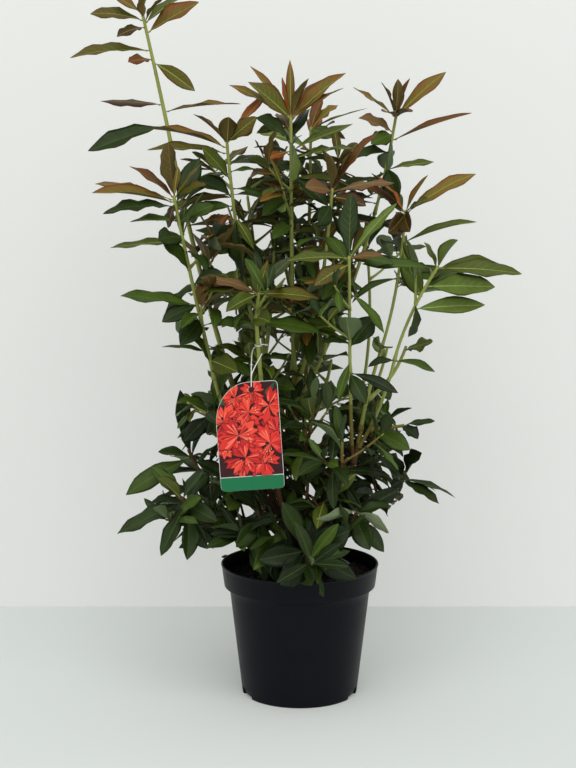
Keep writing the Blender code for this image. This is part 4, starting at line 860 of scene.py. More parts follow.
def leaf_topology():
    """Faces of the closed leaf, its upper side and then its underside, which share their margin,
    and whether each face of a side is on the rib or the petiole."""
    stations = len(STATIONS)
    columns = len(COLUMNS)
    upper = np.arange(stations * columns).reshape(stations, columns)
    lower = upper.copy()
    inner = (stations - 2) * (columns - 2)
    lower[1:-1, 1:-1] = stations * columns + np.arange(inner).reshape(stations - 2, columns - 2)
    top, bottom, strips = [], [], []
    for i in range(stations - 1):
        for j in range(columns - 1):
            top.append((upper[i, j], upper[i + 1, j], upper[i + 1, j + 1], upper[i, j + 1]))
            bottom.append((lower[i, j], lower[i, j + 1], lower[i + 1, j + 1], lower[i + 1, j]))
            strips.append(j == RIB_STRIP or STATIONS[i] < PETIOLE_END)
    return np.array(top + bottom).tolist(), strips


LEAF_FACES, LEAF_IS_RIB = leaf_topology()
HINT_FACES = [(0, 2, 3), (0, 3, 1), (2, 5, 3), (3, 5, 1), (0, 4, 2), (0, 1, 4), (2, 4, 5), (4, 1, 5)]


def leaf_line(root, tip, face, start, arch, rng):
    """Points of a leaf's centre line by station, with its normals and sideways directions. It
    leaves its stem near the direction start, arches over by a share of its length and bends down
    at its tip."""
    chord = tip - root
    length = np.linalg.norm(chord)
    along = chord / length
    face = face - along * face.dot(along)
    face /= np.linalg.norm(face)
    setting_off = along + face * arch * RISE + start * RISE_WITH_STEM
    setting_off /= np.linalg.norm(setting_off)
    coming_down = along - face * (arch * DROP + rng.uniform(*DROP_RANGE))
    coming_down /= np.linalg.norm(coming_down)
    first = root + setting_off * length * HANDLES[0]
    second = tip - coming_down * length * HANDLES[1]
    u = STATIONS[:, None]
    r = 1 - u
    middle = root * r**3 + first * 3 * r * r * u + second * 3 * r * u * u + tip * u**3
    heading = (first - root) * r * r + (second - first) * 2 * r * u + (tip - second) * u * u
    heading = normalised(heading)
    normal = normalised(face - heading * (heading @ face)[:, None])
    across = np.cross(normal, heading)
    twist = rng.uniform(*TWIST_RANGE) * (STATIONS - TWIST_FROM)[:, None]
    turned = normal * np.cos(twist) + across * np.sin(twist)
    return middle, turned, across * np.cos(twist) - normal * np.sin(twist)


def leaf_spread(width):
    """Half the leaf's width by station, and where each column lies across it, -1 to 1."""
    blade = np.clip((STATIONS - PETIOLE_END) / (1 - PETIOLE_END), 0.0, 1.0)
    rise, fall = OUTLINE_POWERS
    widest = rise / (rise + fall)
    outline = blade**rise * (1 - blade) ** fall / (widest**rise * (1 - widest) ** fall)
    taper = RIB_TAPER - STATIONS
    half = np.maximum(outline * width / 2, PETIOLE_WIDTH / 2 * np.clip(taper, NARROWEST, 1.0))
    rib = np.minimum(RIB_WIDTH / 2 * taper / half, SIDE_COLUMNS[0] * RIB_MOST)
    v = np.zeros((len(STATIONS), len(COLUMNS)))
    for j, column in enumerate(COLUMNS):
        if column is None:
            v[:, j] = -rib if j == RIB_STRIP else rib
        else:
            v[:, j] = column
    return half, v


def leaf_shape(root, tip, face, start, width, arch, rng):
    """One leaf from root to tip, its upper side towards face: its corners, where each lies in the
    leaf (across, along, and the leaf's tone), and its upper side by station and column."""
    ends = [np.array(part) for part in (root, tip, face, start)]
    middle, normal, across = leaf_line(*ends, arch, rng)
    half, v = leaf_spread(width)
    at_root, lost = FOLD_OPENS
    fold = rng.uniform(*FOLD_RANGE) * np.clip(at_root - lost * STATIONS, 0, 1)[:, None]
    curl = rng.uniform(*CURL_RANGE)
    waves = rng.uniform(*WAVES_RANGE)
    phase = rng.uniform(0.0, 1.0)
    wave = rng.uniform(*WAVE_DEPTH_RANGE)
    swing = np.sin(2 * math.pi * (waves * STATIONS[:, None] + phase + WAVE_OFFSET * np.sign(v)))
    size = half[:, None]
    lift = size * (np.abs(v) * np.sin(fold) - curl * v * v + wave * swing * v * v)
    side = size * v * np.cos(fold)
    upper = middle[:, None] + across[:, None] * side[..., None] + normal[:, None] * lift[..., None]
    thick = np.where(STATIONS < PETIOLE_END, PETIOLE_WIDTH, LEAF_THICK)[:, None, None]
    ridge = np.zeros((len(STATIONS), len(COLUMNS), 1))
    ridge[:, RIB_STRIP:RIB_STRIP + 2, 0] = (RIDGE * (RIDGE_TAPER - STATIONS))[:, None]
    lower = upper - normal[:, None] * (thick + ridge)
    stations = np.broadcast_to(STATIONS[:, None], v.shape)
    place = np.stack([v, stations, np.full(v.shape, rng.random())], axis=-1)
    corners, places = (
        np.concatenate([above.reshape(-1, 3), below[1:-1, 1:-1].reshape(-1, 3)])
        for above, below in ((upper, lower), (place, place))
    )
    return corners, places, upper


def leaf_hint(upper):
    """Six corners that stand for a leaf in tests, all but its foot."""
    middle = (upper[:, RIB_STRIP] + upper[:, RIB_STRIP + 1]) / 2
    lift = np.array([0.0, 0.0, HINT_THICK])
    return np.array([
        middle[OUTER_STATION],
        upper[WIDEST_STATION, -1],
        upper[WIDEST_STATION, 0],
        middle[MIDDLE_STATION] + lift,
        middle[MIDDLE_STATION] - lift,
        middle[-1],
    ])


def leaf_finishes(tint):
    _, _, rib, under = TINTS[tint]
    top = ["rib_" + rib if is_rib else "leaf_" + tint for is_rib in LEAF_IS_RIB]
    bottom = ["rib_" + rib if is_rib else "under_" + under for is_rib in LEAF_IS_RIB]
    return top + bottom


def stem_axis(path, share):
    return (path.heading(share) + UP * UPRIGHT).normalized()


def share_at_pixel(path, down):
    """Where along the path it shows at a height in the picture."""
    shares = [i / 100 for i in range(101)]
    return min(shares, key=lambda share: abs(pixel_of(path.at(share))[1] - down))


def seen_leaf(path, seen, rng):
    share = min(share_at_pixel(path, seen.root), 1 - STEM_TIP_RADIUS / path.length)
    root = path.at(share)
    tip = behind_pixel(seen.tip, root.y - seen.toward)
    along = (tip - root).normalized()
    axis = stem_axis(path, share)
    face = square_to(axis, along)
    viewer = square_to(TO_VIEWER - along * TO_VIEWER.dot(along), face)
    turn = math.radians(seen.face)
    face = face * math.cos(turn) + viewer * math.sin(turn)
    return leaf_shape(root, tip, face, path.heading(share), seen.width, seen.bend, rng)


def leaf_rule(place, count, rng):
    """Length share, elevation and arch of the leaf at a place down the stem."""
    if place < WHORL:
        size, lift, arch = next(rule[1:] for rule in WHORL_RULE if place < rule[0])
    else:
        low = (place - WHORL) / max(1, count - WHORL)
        size = 1 - LOWER_SHORTER * low
        lift = LOWER_LIFT - LOWER_FALL * low + rng.uniform(*LOWER_LIFT_RANGE)
        arch = LOWER_ARCH
    size *= rng.uniform(*SIZE_RANGE)
    lift += rng.uniform(*LIFT_RANGE)
    return size, math.radians(lift), arch + rng.uniform(*ARCH_RANGE)


def rule_leaf(path, share, bearing, elevation, roll, length, arch, rng):
    axis = stem_axis(path, share)
    along = leaving(axis, bearing, elevation)
    face = square_to(axis, along)
    face = face * math.cos(roll) + face.cross(along) * math.sin(roll)
    root = path.at(share)
    width = length * rng.uniform(*LEAF_WIDTH_RANGE)
    tip = root + (along - face * arch * TIP_BELOW).normalized() * length
    return leaf_shape(root, tip, face, path.heading(share), width, arch, rng)


def pick_tint(mixture, rng):
    tints = MIXTURES[mixture]
    return rng.choices(list(tints), weights=list(tints.values()))[0]


def grow_leaves(
    owner, path, count, bearing, full_length, mixtures, filled, view, gather, rng, seen=False
):
    """Leaves down one stem from its tip, on a spiral. One that would touch anything turns aside a
    little, and is skipped if that doesn't clear it. Gives the number that found room."""
    grown = 0
    down = 0.0
    for place in range(count):
        size, lift, arch = leaf_rule(place, count, rng)
        turn = bearing + SPIRAL * place + rng.uniform(*BEARING_RANGE)
        roll = math.radians(rng.uniform(*ROLL_RANGE))
        if place:
            down += WHORL_STEP if place < WHORL else LEAF_STEP * rng.uniform(*STEP_RANGE)
        share = 1 - (down + STEM_TIP_RADIUS) / path.length
        if share * path.length < BARE_FOOT:
            break
        length = full_length * size
        # Leaves under the whorl take the second mixture; on the lower sprays that is shade, whose darker
        # tints are partly painted shade
        tint = pick_tint(mixtures[0] if place < WHORL else mixtures[1], rng)
        back_only = seen and place < SEEN_PLACES
        for _ in range(LEAF_TRIES):
            shut_out = back_only and not BACK_BEARINGS[0] < turn % 360 < BACK_BEARINGS[1]
            shape = rule_leaf(path, share, math.radians(turn), lift, roll, length, arch, rng)
            hint = leaf_hint(shape[2])
            shut_out = shut_out or view.spoilt_by(shape[2])
            if not shut_out and not filled.touched_by(hint, HINT_FACES):
                filled.add(owner, hint, HINT_FACES)
                gather.add(shape[0], LEAF_FACES, leaf_finishes(tint), shape[1])
                grown += 1
                break
            turn += rng.choice((-1, 1)) * rng.uniform(*TURN_ASIDE)
            lift += math.radians(rng.uniform(*LIFT_ASIDE))
            length *= TRY_SHORTER
    return grown


def grow_twigs(spray, stem, filled, rng):
    """The spray's side twigs and the finer ones between them."""
    twigs = []
    count = spray.twigs + MORE_TWIGS
    for place in range(count):
        share = TWIG_FIRST + TWIG_SPACING * place / count + rng.uniform(0.0, TWIG_SHIFT)
        bearing = rng.uniform(0, 2 * math.pi)
        axis = stem_axis(stem, share)
        foot = stem.at(share)
        reach = TWIG_LENGTH * rng.uniform(*TWIG_LENGTH_RANGE)
        tip = foot + leaving(axis, bearing, math.radians(TWIG_LIFT)) * reach
        bend = (foot + tip) / 2 - axis * reach * TWIG_SAG
        path = Path(foot, bend, tip, TWIG_RADIUS, TWIG_TIP_RADIUS)
        corners, faces = tube_shape(path, *TEST_TWIG)
        if not within(pixels_of(corners)[0], CROWN_OUTLINE).all():
            continue
        if not filled.touched_by(corners, faces, leave_out=spray.name):
            filled.add(spray.name, corners, faces)
            twigs.append(path)
    return twigs


# Stems and bark
TEST_TWIG = (5, 0.012)  # sides and step of a tube that stands for a twig in tests
TEST_LIMB = (5, 0.03)
BOUGH_MAKE = (14, 0.0035, 0.07)  # sides, step and unevenness
STEM_MAKE = (10, 0.004, 0.03)
TWIG_MAKE = (8, 0.004, 0.03)
STEM_COLOURS = ("stem_green", "stem_turning", "stem_russet", "bark_brown")
STEM_HEIGHTS = (0.44, 0.39, 0.31)  # under which a stem turns to the next colour
STEM_HEIGHT_SPREAD = 0.03
PATCH_SCALE = 60
BROWN_HIGHER = {"bough_centre": 0.06, "bough_back": 0.10, "bough_back_left": 0.05}
NODE_STEP = 0.021
NODE_SWELL = 0.16
COLLAR_SWELL = 0.45
COLLAR_LENGTH = 0.010
RING_SHARPNESS = 5
LEAST_SCAR = 0.2
GRAIN_AROUND = 2
GRAIN_UP = 160
END_DOME = 0.6


def tube_shape(path, sides, step, swell=None):
    """Corners and faces of a closed round limb along a path."""
    count = max(3, math.ceil(path.length / step))
    shares = [i / count for i in range(count + 1)]
    heading = path.heading(0.0)
    across = heading.orthogonal().normalized()
    corners = []
    for share in shares:
        turned = path.heading(share)
        across = square_to(across, turned)
        other = turned.cross(across)
        for k in range(sides):
            angle = 2 * math.pi * k / sides
            out = across * math.cos(angle) + other * math.sin(angle)
            radius = path.radius(share)
            if swell:
                radius *= swell(share, out)
            corners.append(path.at(share) + out * radius)
    faces = []
    for a, b, c, d in ring_faces(count + 1, sides):
        faces += [(a, b, c), (a, c, d)]
    foot = len(corners)
    corners += [path.at(0.0), path.at(1.0) + path.heading(1.0) * path.tip_radius * END_DOME]
    last = count * sides
    for k in range(sides):
        j = (k + 1) % sides
        faces.append((foot, j, k))
        faces.append((foot + 1, last + k, last + j))
    return np.array(corners), faces


def stem_swell(path, rough, rng):
    """How a stem's radius changes: a collar at its foot, rings at its leaf scars, and grain."""
    shift = rng.uniform(0.0, 10.0)

    def swell(share, out):
        down = share * path.length
        collar = COLLAR_SWELL * math.exp(-((down / COLLAR_LENGTH) ** 2))
        ring = abs((down / NODE_STEP + shift) % 1.0 - 0.5) * 2
        scar = NODE_SWELL * max(0.0, 1 - ring * RING_SHARPNESS)
        facing = math.cos(SPIRAL * int(down / NODE_STEP + shift) + math.atan2(out.y, out.x))
        place = Vector((out.x * GRAIN_AROUND, out.y * GRAIN_AROUND, down * GRAIN_UP + shift))
        return 1 + collar + scar * max(LEAST_SCAR, facing) + noise.noise(place) * rough

    return swell


def stem_finishes(corners, faces, older, rng):
    """Green above, turning through russet to brown below."""
    spread = rng.uniform(-STEM_HEIGHT_SPREAD, STEM_HEIGHT_SPREAD) - older
    finishes = []
    for face in faces:
        place = Vector(corners[face[0]])
        patch = noise.noise(place * PATCH_SCALE) * STEM_HEIGHT_SPREAD
        height = corners[face[0]][2] + spread + patch
        step = sum(height < limit for limit in STEM_HEIGHTS)
        finishes.append(STEM_COLOURS[step])
    return finishes


def add_stem(gather, path, make, rng, older=0.0):
    sides, step, rough = make
    corners, faces = tube_shape(path, sides, step, stem_swell(path, rough, rng))
    gather.add(corners, faces, stem_finishes(corners, faces, older, rng))


def make_boughs(paths, materials):
    for limb in map(Limb._make, LIMBS):
        rng = random.Random(limb.name)
        gather = Gather()
        older = BROWN_HIGHER.get(limb.name, 0.0)
        slim = SLENDER.get(limb.name, 1.0)
        path = slimmer(paths[limb.name], slim, slim)
        add_stem(gather, path, BOUGH_MAKE, rng, older)
        bough = gather.piece(limb.name + "_bark", materials, "bark")
        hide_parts(limb.name)


# Trunk
SOIL_TOP = 0.190
TRUNK_HEIGHT = 0.056
TRUNK_RADIUS = 0.0150
TRUNK_TOP_RADIUS = 0.0125
TRUNK_DOME = 0.010
FLARE_RADIUS = 0.0235
ROOT_LOBES = 5
ROOT_LOBE_DEPTH = 0.16
TRUNK_LEAN = Vector((-0.003, 0.003, 0.0))
TRUNK_SIDES = 56
TRUNK_RINGS = 36
TRUNK_DOME_RINGS = 8
TRUNK_TIP_RADIUS = 0.0006
BARK_AROUND = 9
BARK_UP = 2.5
STRIP_DEPTH = 0.07
CRACK_DEPTH = 0.08
CRACK_WIDTH = 0.25
CRACK_SCALE = 0.8
CRACK_SHIFT = Vector((7, 0, 0))


def make_trunk(materials):
    """The stool that all the boughs rise from, its bark in flaking strips."""
    rings = []
    for i in range(TRUNK_RINGS + 1):
        share = i / TRUNK_RINGS
        spread = (FLARE_RADIUS - TRUNK_RADIUS) * (1 - share) ** 4
        rings.append((TRUNK_RADIUS + (TRUNK_TOP_RADIUS - TRUNK_RADIUS) * share + spread, share))
    side = 1 - TRUNK_DOME / TRUNK_HEIGHT
    rings = [(radius, share * side) for radius, share in rings]
    for i in range(1, TRUNK_DOME_RINGS + 1):
        turn = math.pi / 2 * i / TRUNK_DOME_RINGS
        height = side + (1 - side) * math.sin(turn)
        rings.append((max(TRUNK_TIP_RADIUS, TRUNK_TOP_RADIUS * math.cos(turn)), height))
    corners = []
    for radius, share in rings:
        for k in range(TRUNK_SIDES):
            angle = 2 * math.pi * k / TRUNK_SIDES
            lobe = 1 + ROOT_LOBE_DEPTH * math.cos(ROOT_LOBES * angle) * max(0.0, 1 - share) ** 3
            around = (math.cos(angle) * BARK_AROUND, math.sin(angle) * BARK_AROUND)
            place = Vector((*around, share * BARK_UP))
            strip = noise.noise(place) * STRIP_DEPTH
            cracked = CRACK_WIDTH - abs(noise.noise(place * CRACK_SCALE + CRACK_SHIFT))
            here = radius * lobe * (1 + strip - CRACK_DEPTH * max(0.0, cracked))
            corners.append((
                here * math.cos(angle) + TRUNK_LEAN.x * share,
                here * math.sin(angle) + TRUNK_LEAN.y * share,
                SOIL_TOP + GAP + TRUNK_HEIGHT * share,
            ))
    faces = closed_rings(len(rings), TRUNK_SIDES)
    trunk = shell_piece("trunk_bark", corners, faces, materials["bark_brown"])
    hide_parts("trunk")


def is_young(spray):
    return spray.tip[2] > YOUNG_ABOVE


def make_foliage(paths, materials):
    """Stems, twigs and leaves, in pieces by the limb that they grow from."""
    filled = Filled()
    view = View(paths)
    for limb in map(Limb._make, LIMBS):
        filled.add(limb.name, *tube_shape(paths[limb.name], *TEST_LIMB))
    keep_view_of_tag(filled)
    sprays = [Spray._make(row) for row in SPRAYS]
    stems = {True: Gather(), False: Gather()}
    for spray in sprays:
        path = paths[spray.name]
        filled.add(spray.name, *tube_shape(path, *TEST_LIMB))
        slim = SLENDER.get(spray.parent, 1.0) if spray.where == 1.0 else 1.0
        rng = random.Random(spray.name + " stem")
        add_stem(stems[is_young(spray)], slimmer(path, slim, 1.0), STEM_MAKE, rng)
    foliage = {}
    for spray in sprays:
        gather = foliage.setdefault((spray.parent, is_young(spray)), Gather())
        rng = random.Random(spray.name + " seen")
        for seen in map(Seen._make, SEEN_LEAVES.get(spray.name, ())):
            corners, places, upper = seen_leaf(paths[spray.name], seen, rng)
            filled.add(spray.name, leaf_hint(upper), HINT_FACES)
            gather.add(corners, LEAF_FACES, leaf_finishes(seen.tint), places)
    twigs = {}
    for spray in sprays:
        rng = random.Random(spray.name + " twigs")
        twigs[spray.name] = grow_twigs(spray, paths[spray.name], filled, rng)
    for spray in sprays:
        gather = foliage[(spray.parent, is_young(spray))]
        mixtures = SPRAY_MIXTURES.get(spray.name, PLAIN_MIXTURE)
        rng = random.Random(spray.name + " leaves")
        room = (mixtures, filled, view, gather, rng)
        count = round(spray.leaves * MORE_LEAVES)
        seen = spray.name in SEEN_LEAVES
        path = paths[spray.name]
        grow_leaves(spray.name, path, count, spray.bearing, spray.length, *room, seen)
        for twig in twigs[spray.name]:
            bearing = rng.uniform(0, 360)
            length = spray.length * TWIG_LEAF_LENGTH
            grown = grow_leaves(spray.name, twig, TWIG_LEAVES, bearing, length, *room)
            if grown >= LEAST_ON_TWIG:
                add_stem(stems[is_young(spray)], twig, TWIG_MAKE, rng)
    for (parent, young), gather in foliage.items():
        slot = "young_foliage" if young else "old_foliage"
        name = ("young" if young else "old") + "_leaves_on_" + parent
        leaves = gather.piece(name, materials, slot)
        carried = [s.name for s in sprays if s.parent == parent and is_young(s) == young]
        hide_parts(*carried)
    stems[True].piece("young_stems", materials, "young_foliage")
    stems[False].piece("old_stems", materials, "old_foliage")


# The tag and its tie
TAG_WIDTH = 0.093
TAG_HEIGHT = 0.159
TAG_THICK = 0.0008
TAG_ROUND_WIDTH = 0.050
TAG_ROUND_HEIGHT = 0.060
TAG_CORNER = 0.006
TAG_HOLE = Vector((-0.0715, -0.1500, 0.5010))
TAG_HOLE_RADIUS = 0.0026
TAG_HOLE_FROM_TOP = 0.0115
TAG_HOLE_FROM_RIGHT = 0.0385
TAG_TILT = 3.9
TAG_VIEW_DEPTH = 0.20
TIE_RADIUS = 0.0008
TIE_HEIGHT = 0.563
TIE_TURNS = 1.5
TIE_PITCH = 0.0032
TIE_SIDES = 9
TIE_FIRST = -60
TIE_FREE_END = Vector((0.012, -0.006, -0.001))
TIE_BESIDE = 0.006


def tag_frame():
    """From the card's own plane, X right and Y up from its hole, to where it hangs."""
    upright = Matrix.Rotation(math.radians(90), 4, "X")
    tilt = Matrix.Rotation(math.radians(TAG_TILT), 4, "Z")
    return Matrix.Translation(TAG_HOLE) @ upright @ tilt


def keep_view_of_tag(filled):
    """The space in front of the card stays free of leaves."""
    shape = bmesh.new()
    right = TAG_HOLE_FROM_RIGHT
    top = TAG_HOLE_FROM_TOP
    middle = Vector((right - TAG_WIDTH / 2, top - TAG_HEIGHT / 2, TAG_VIEW_DEPTH / 2))
    size = Matrix.Diagonal((TAG_WIDTH, TAG_HEIGHT, TAG_VIEW_DEPTH, 1.0))
    bmesh.ops.create_cube(shape, size=1.0, matrix=tag_frame() @ Matrix.Translation(middle) @ size)
    bmesh.ops.triangulate(shape, faces=shape.faces)
    corners = np.array([list(corner.co) for corner in shape.verts])
    faces = [tuple(corner.index for corner in face.verts) for face in shape.faces]
    filled.add("view", corners, faces)
    shape.free()


def arc(centre, radius_x, radius_y, first, last, steps):
    points = []
    for i in range(steps + 1):
        angle = math.radians(first + (last - first) * i / steps)
        points.append((centre[0] + radius_x * math.cos(angle), centre[1] + radius_y * math.sin(angle)))
    return points


def card_outline(inset):
    """The card's outline, drawn in by inset, anticlockwise."""
    right = TAG_HOLE_FROM_RIGHT - inset
    left = TAG_HOLE_FROM_RIGHT - TAG_WIDTH + inset
    top = TAG_HOLE_FROM_TOP - inset
    bottom = TAG_HOLE_FROM_TOP - TAG_HEIGHT + inset
    corner = TAG_CORNER - inset / 2
    wide = TAG_ROUND_WIDTH - inset
    high = TAG_ROUND_HEIGHT - inset
    outline = arc((right - corner, top - corner), corner, corner, 0, 90, 6)
    outline += arc((left + wide, top - high), wide, high, 90, 180, 28)
    outline += arc((left + corner, bottom + corner), corner, corner, 180, 270, 6)
    return outline + arc((right - corner, bottom + corner), corner, corner, 270, 360, 6)


def soften(points, rounds):
    """The line with its corners cut, rounds times over."""
    for _ in range(rounds):
        cut = [points[0]]
        for here, there in zip(points, points[1:]):
            cut += [here.lerp(there, 0.25), here.lerp(there, 0.75)]
        points = cut + [points[-1]]
    return points


def tie_points(paths):
    """A free end, turns round the front bough, down to the card, through its hole and back up."""
    bough = paths["bough_front"]
    share = min((i / 200 for i in range(201)), key=lambda s: abs(bough.at(s).z - TIE_HEIGHT))
    middle = bough.at(share)
    along = bough.heading(share)
    side = square_to(ACROSS, along)
    back = along.cross(side)
    ring = (bough.radius(share) + TIE_RADIUS + 2 * GAP) / math.cos(math.pi / TIE_SIDES)
    turns = []
    for i in range(round(TIE_TURNS * TIE_SIDES) + 1):
        angle = math.radians(TIE_FIRST) + 2 * math.pi * i / TIE_SIDES
        rise = TIE_PITCH * (TIE_TURNS / 2 - i / TIE_SIDES)
        out = side * math.cos(angle) + back * math.sin(angle)
        turns.append(middle + out * ring + along * rise)
    free_end = turns[0] + TIE_FREE_END
    card = tag_frame()
    stand = TAG_THICK / 2 + TIE_RADIUS + 2 * GAP
    front = card @ Vector((0.0, 0.0, stand))
    rear = card @ Vector((0.0, 0.0, -stand))
    above = UP * (TAG_HOLE_FROM_TOP + 2 * TIE_BESIDE)
    tail = [turns[-1], turns[-1] + Vector((-TIE_BESIDE, 0.0, -TIE_BESIDE))]
    tail += [front + above, front + above / 2, front, rear, rear + above / 2, rear + above]
    tail.append(middle + Vector((TIE_BESIDE, -ring - 3 * TIE_RADIUS, -2 * TIE_BESIDE)))
    return [free_end] + turns[:-1] + soften(tail, 2)


def make_tie(paths, materials):
    data = bpy.data.curves.new("tie_line", "CURVE")
    data.dimensions = "3D"
    data.bevel_depth = TIE_RADIUS
    data.bevel_resolution = 3
    data.use_fill_caps = True
    points = soften(tie_points(paths), 2)
    line = data.splines.new("POLY")
    line.points.add(len(points) - 1)
    for knot, point in zip(line.points, points):
        knot.co = (*point, 1.0)
    curve = put_in_scene("tie_line", data)
    view = bpy.context.evaluated_depsgraph_get()
    mesh = bpy.data.meshes.new_from_object(curve.evaluated_get(view))
    bpy.data.objects.remove(curve)
    mesh.materials.clear()
    mesh.materials.append(materials["white_tie"])
    mesh.shade_smooth()
    tie = place_piece("tie", mesh)
    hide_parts("tag_tie")


def clipped(polygon, outline):
    """What of a polygon lies inside a convex outline that runs anticlockwise."""
    for (ax, ay), (bx, by) in zip(outline, outline[1:] + outline[:1]):
        kept = []
        for (px, py), (qx, qy) in zip(polygon, polygon[1:] + polygon[:1]):
            p_side = (bx - ax) * (py - ay) - (by - ay) * (px - ax)
            q_side = (bx - ax) * (qy - ay) - (by - ay) * (qx - ax)
            if p_side >= 0:
                kept.append((px, py))
            if p_side * q_side < 0:
                share = p_side / (p_side - q_side)
                kept.append((px + (qx - px) * share, py + (qy - py) * share))
        polygon = kept
        if len(polygon) < 3:
            return []
    return polygon


INK = 0.00003  # one printed layer over another
LAYER_SHARE = 0.12
STRIP_HEIGHT = 0.0205
STRIP_LINE = 0.0011
PRINT_INSET = 0.0006
BLOSSOMS = (  # middle as shares of the picture's width and height, and size, from the back
    (0.94, 0.46, 0.9), (0.62, 0.90, 0.7), (0.08, 0.34, 0.9), (0.32, 0.84, 0.9), (0.84, 0.74, 0.9),
    (0.12, 0.60, 1.0), (0.52, 0.68, 0.9), (0.72, 0.16, 0.9), (0.34, 0.44, 1.2), (0.82, 0.34, 1.0),
    (0.42, 0.20, 0.9),
)
LOOSE_PETALS = 26
LOOSE_SIZES = (0.9, 0.8)  # length and width, beside a blossom's
LOOSE_HEIGHTS = (0.12, 0.92)
PRINT_LEAVES = 12
CORNER_LEAVES = 4
GREEN_CORNER = (0.95, 0.98)
PRINT_LEAF_SIZE = (0.022, 0.006)
BLOSSOM_RADIUS = 0.0235
PETALS = 5
PETAL_WIDTH = 0.0105
PETAL_STEPS = 24
PETAL_FULLNESS = 0.6
PETAL_WAIST = 0.35
PETAL_ASIDE = 0.3
RUFFLES = 11
RUFFLE = 0.16
SHADOW_GROWS = (1.08, 1.14)
STREAKS = 5
STREAK_FAN = 0.8
STREAK_ASIDE = 0.06
STREAK_REACH = (0.6, 0.95)
STREAK_WIDTH = (0.07, 0.16)
PETAL_INKS = ("ink_red", "ink_coral", "ink_red", "ink_scarlet")
STREAK_INKS = ("ink_rose", "ink_crimson", "ink_scarlet", "ink_coral", "ink_red")
THROAT = (0.3, 0.1)
STAMENS = 4
STAMEN_FIRST = 0.9
STAMEN_STEP = 0.28
STAMEN_REACH = (0.4, 0.6)
STAMEN_WIDTH = 0.0004
STAMEN_TIP = 0.0007


def petal(centre, bearing, length, width, ruffle=0.0):
    """A petal's outline from the centre, broadest towards its end, with a ruffled margin."""
    points = []
    for i in range(PETAL_STEPS + 1):
        turn = math.pi * (i / PETAL_STEPS - 0.5)
        reach = length * (0.5 + 0.5 * math.cos(2 * turn)) ** PETAL_FULLNESS
        reach *= 1 + ruffle * math.sin(RUFFLES * turn)
        lateral = width * math.sin(2 * turn) * (PETAL_WAIST + (1 - PETAL_WAIST) * reach / length)
        points.append((reach, lateral))
    cos, sin = math.cos(bearing), math.sin(bearing)
    return [(centre[0] + x * cos - y * sin, centre[1] + x * sin + y * cos) for x, y in points]


def streaked_petal(centre, bearing, length, width, rng):
    """A petal with its shadow under it and streaks of light and shade along it."""
    ink = rng.choice(PETAL_INKS)
    longer, wider = SHADOW_GROWS
    shapes = [(petal(centre, bearing, length * longer, width * wider, RUFFLE), "ink_crimson")]
    shapes.append((petal(centre, bearing, length, width, RUFFLE), ink))
    for streak in range(STREAKS):
        aside = ((streak + 0.5) / STREAKS - 0.5) * STREAK_FAN
        aside += rng.uniform(-STREAK_ASIDE, STREAK_ASIDE)
        reach = length * rng.uniform(*STREAK_REACH)
        light = rng.choice(STREAK_INKS)
        broad = width * rng.uniform(*STREAK_WIDTH)
        shapes.append((petal(centre, bearing + aside, reach, broad), light))
    return shapes


def blossom_shapes(centre, size, rng):
    """One blossom: five ruffled petals of uneven size, a dark throat and its stamens."""
    first = rng.uniform(0, 2 * math.pi)
    radius = BLOSSOM_RADIUS * size
    shapes = []
    for k in range(PETALS):
        bearing = first + 2 * math.pi * k / PETALS + rng.uniform(-PETAL_ASIDE, PETAL_ASIDE)
        length = radius * rng.uniform(0.75, 1.2)
        width = PETAL_WIDTH * size * rng.uniform(0.8, 1.2)
        shapes += streaked_petal(centre, bearing, length, width, rng)
    shapes.append((petal(centre, first, radius * THROAT[0], radius * THROAT[1]), "ink_maroon"))
    for k in range(STAMENS):
        bearing = first + STAMEN_FIRST + STAMEN_STEP * k
        reach = radius * rng.uniform(*STAMEN_REACH)
        shapes.append((petal(centre, bearing, reach, STAMEN_WIDTH), "ink_rose"))
        tip = (centre[0] + reach * math.cos(bearing), centre[1] + reach * math.sin(bearing))
        shapes.append((arc(tip, STAMEN_TIP, STAMEN_TIP, 0, 300, 5), "ink_cream"))
    return shapes


def print_shapes():
    """The card's print from the back to the front, as outlines with their inks."""
    rng = random.Random("print")
    inside = card_outline(PRINT_INSET)
    bottom = TAG_HOLE_FROM_TOP - TAG_HEIGHT + PRINT_INSET
    left = TAG_HOLE_FROM_RIGHT - TAG_WIDTH
    right = TAG_HOLE_FROM_RIGHT
    top = TAG_HOLE_FROM_TOP
    line = bottom + STRIP_HEIGHT
    under = line - STRIP_LINE
    picture = clipped(inside, [(left, line), (right, line), (right, top), (left, top)])
    strip = clipped(inside, [(left, bottom), (right, bottom), (right, under), (left, under)])
    shapes = [(picture, "ink_maroon")]
    for number in range(PRINT_LEAVES):
        place = (rng.uniform(left, right), rng.uniform(line, top))
        if number < CORNER_LEAVES:
            place = (left + TAG_WIDTH * GREEN_CORNER[0], line + (top - line) * GREEN_CORNER[1])
        shapes.append((petal(place, number * 1.5 + 2.6, *PRINT_LEAF_SIZE), "ink_leaf"))
    length, width = BLOSSOM_RADIUS * LOOSE_SIZES[0], PETAL_WIDTH * LOOSE_SIZES[1]
    for _ in range(LOOSE_PETALS):
        place = (rng.uniform(left, right), line + (top - line) * rng.uniform(*LOOSE_HEIGHTS))
        shapes += streaked_petal(place, rng.uniform(0, 2 * math.pi), length, width, rng)
    for across, up, size in BLOSSOMS:
        place = (left + TAG_WIDTH * across, line + (top - line) * up)
        shapes += blossom_shapes(place, size, rng)
    hole = TAG_HOLE_RADIUS * 1.5
    shapes.append((arc((0.0, 0.0), hole, hole, 0, 345, 23), "ink_maroon"))
    shapes = [(clipped(shape, picture), ink) for shape, ink in shapes]
    shapes.append((strip, "ink_green"))
    return [(shape, ink) for shape, ink in shapes if len(shape) > 2]


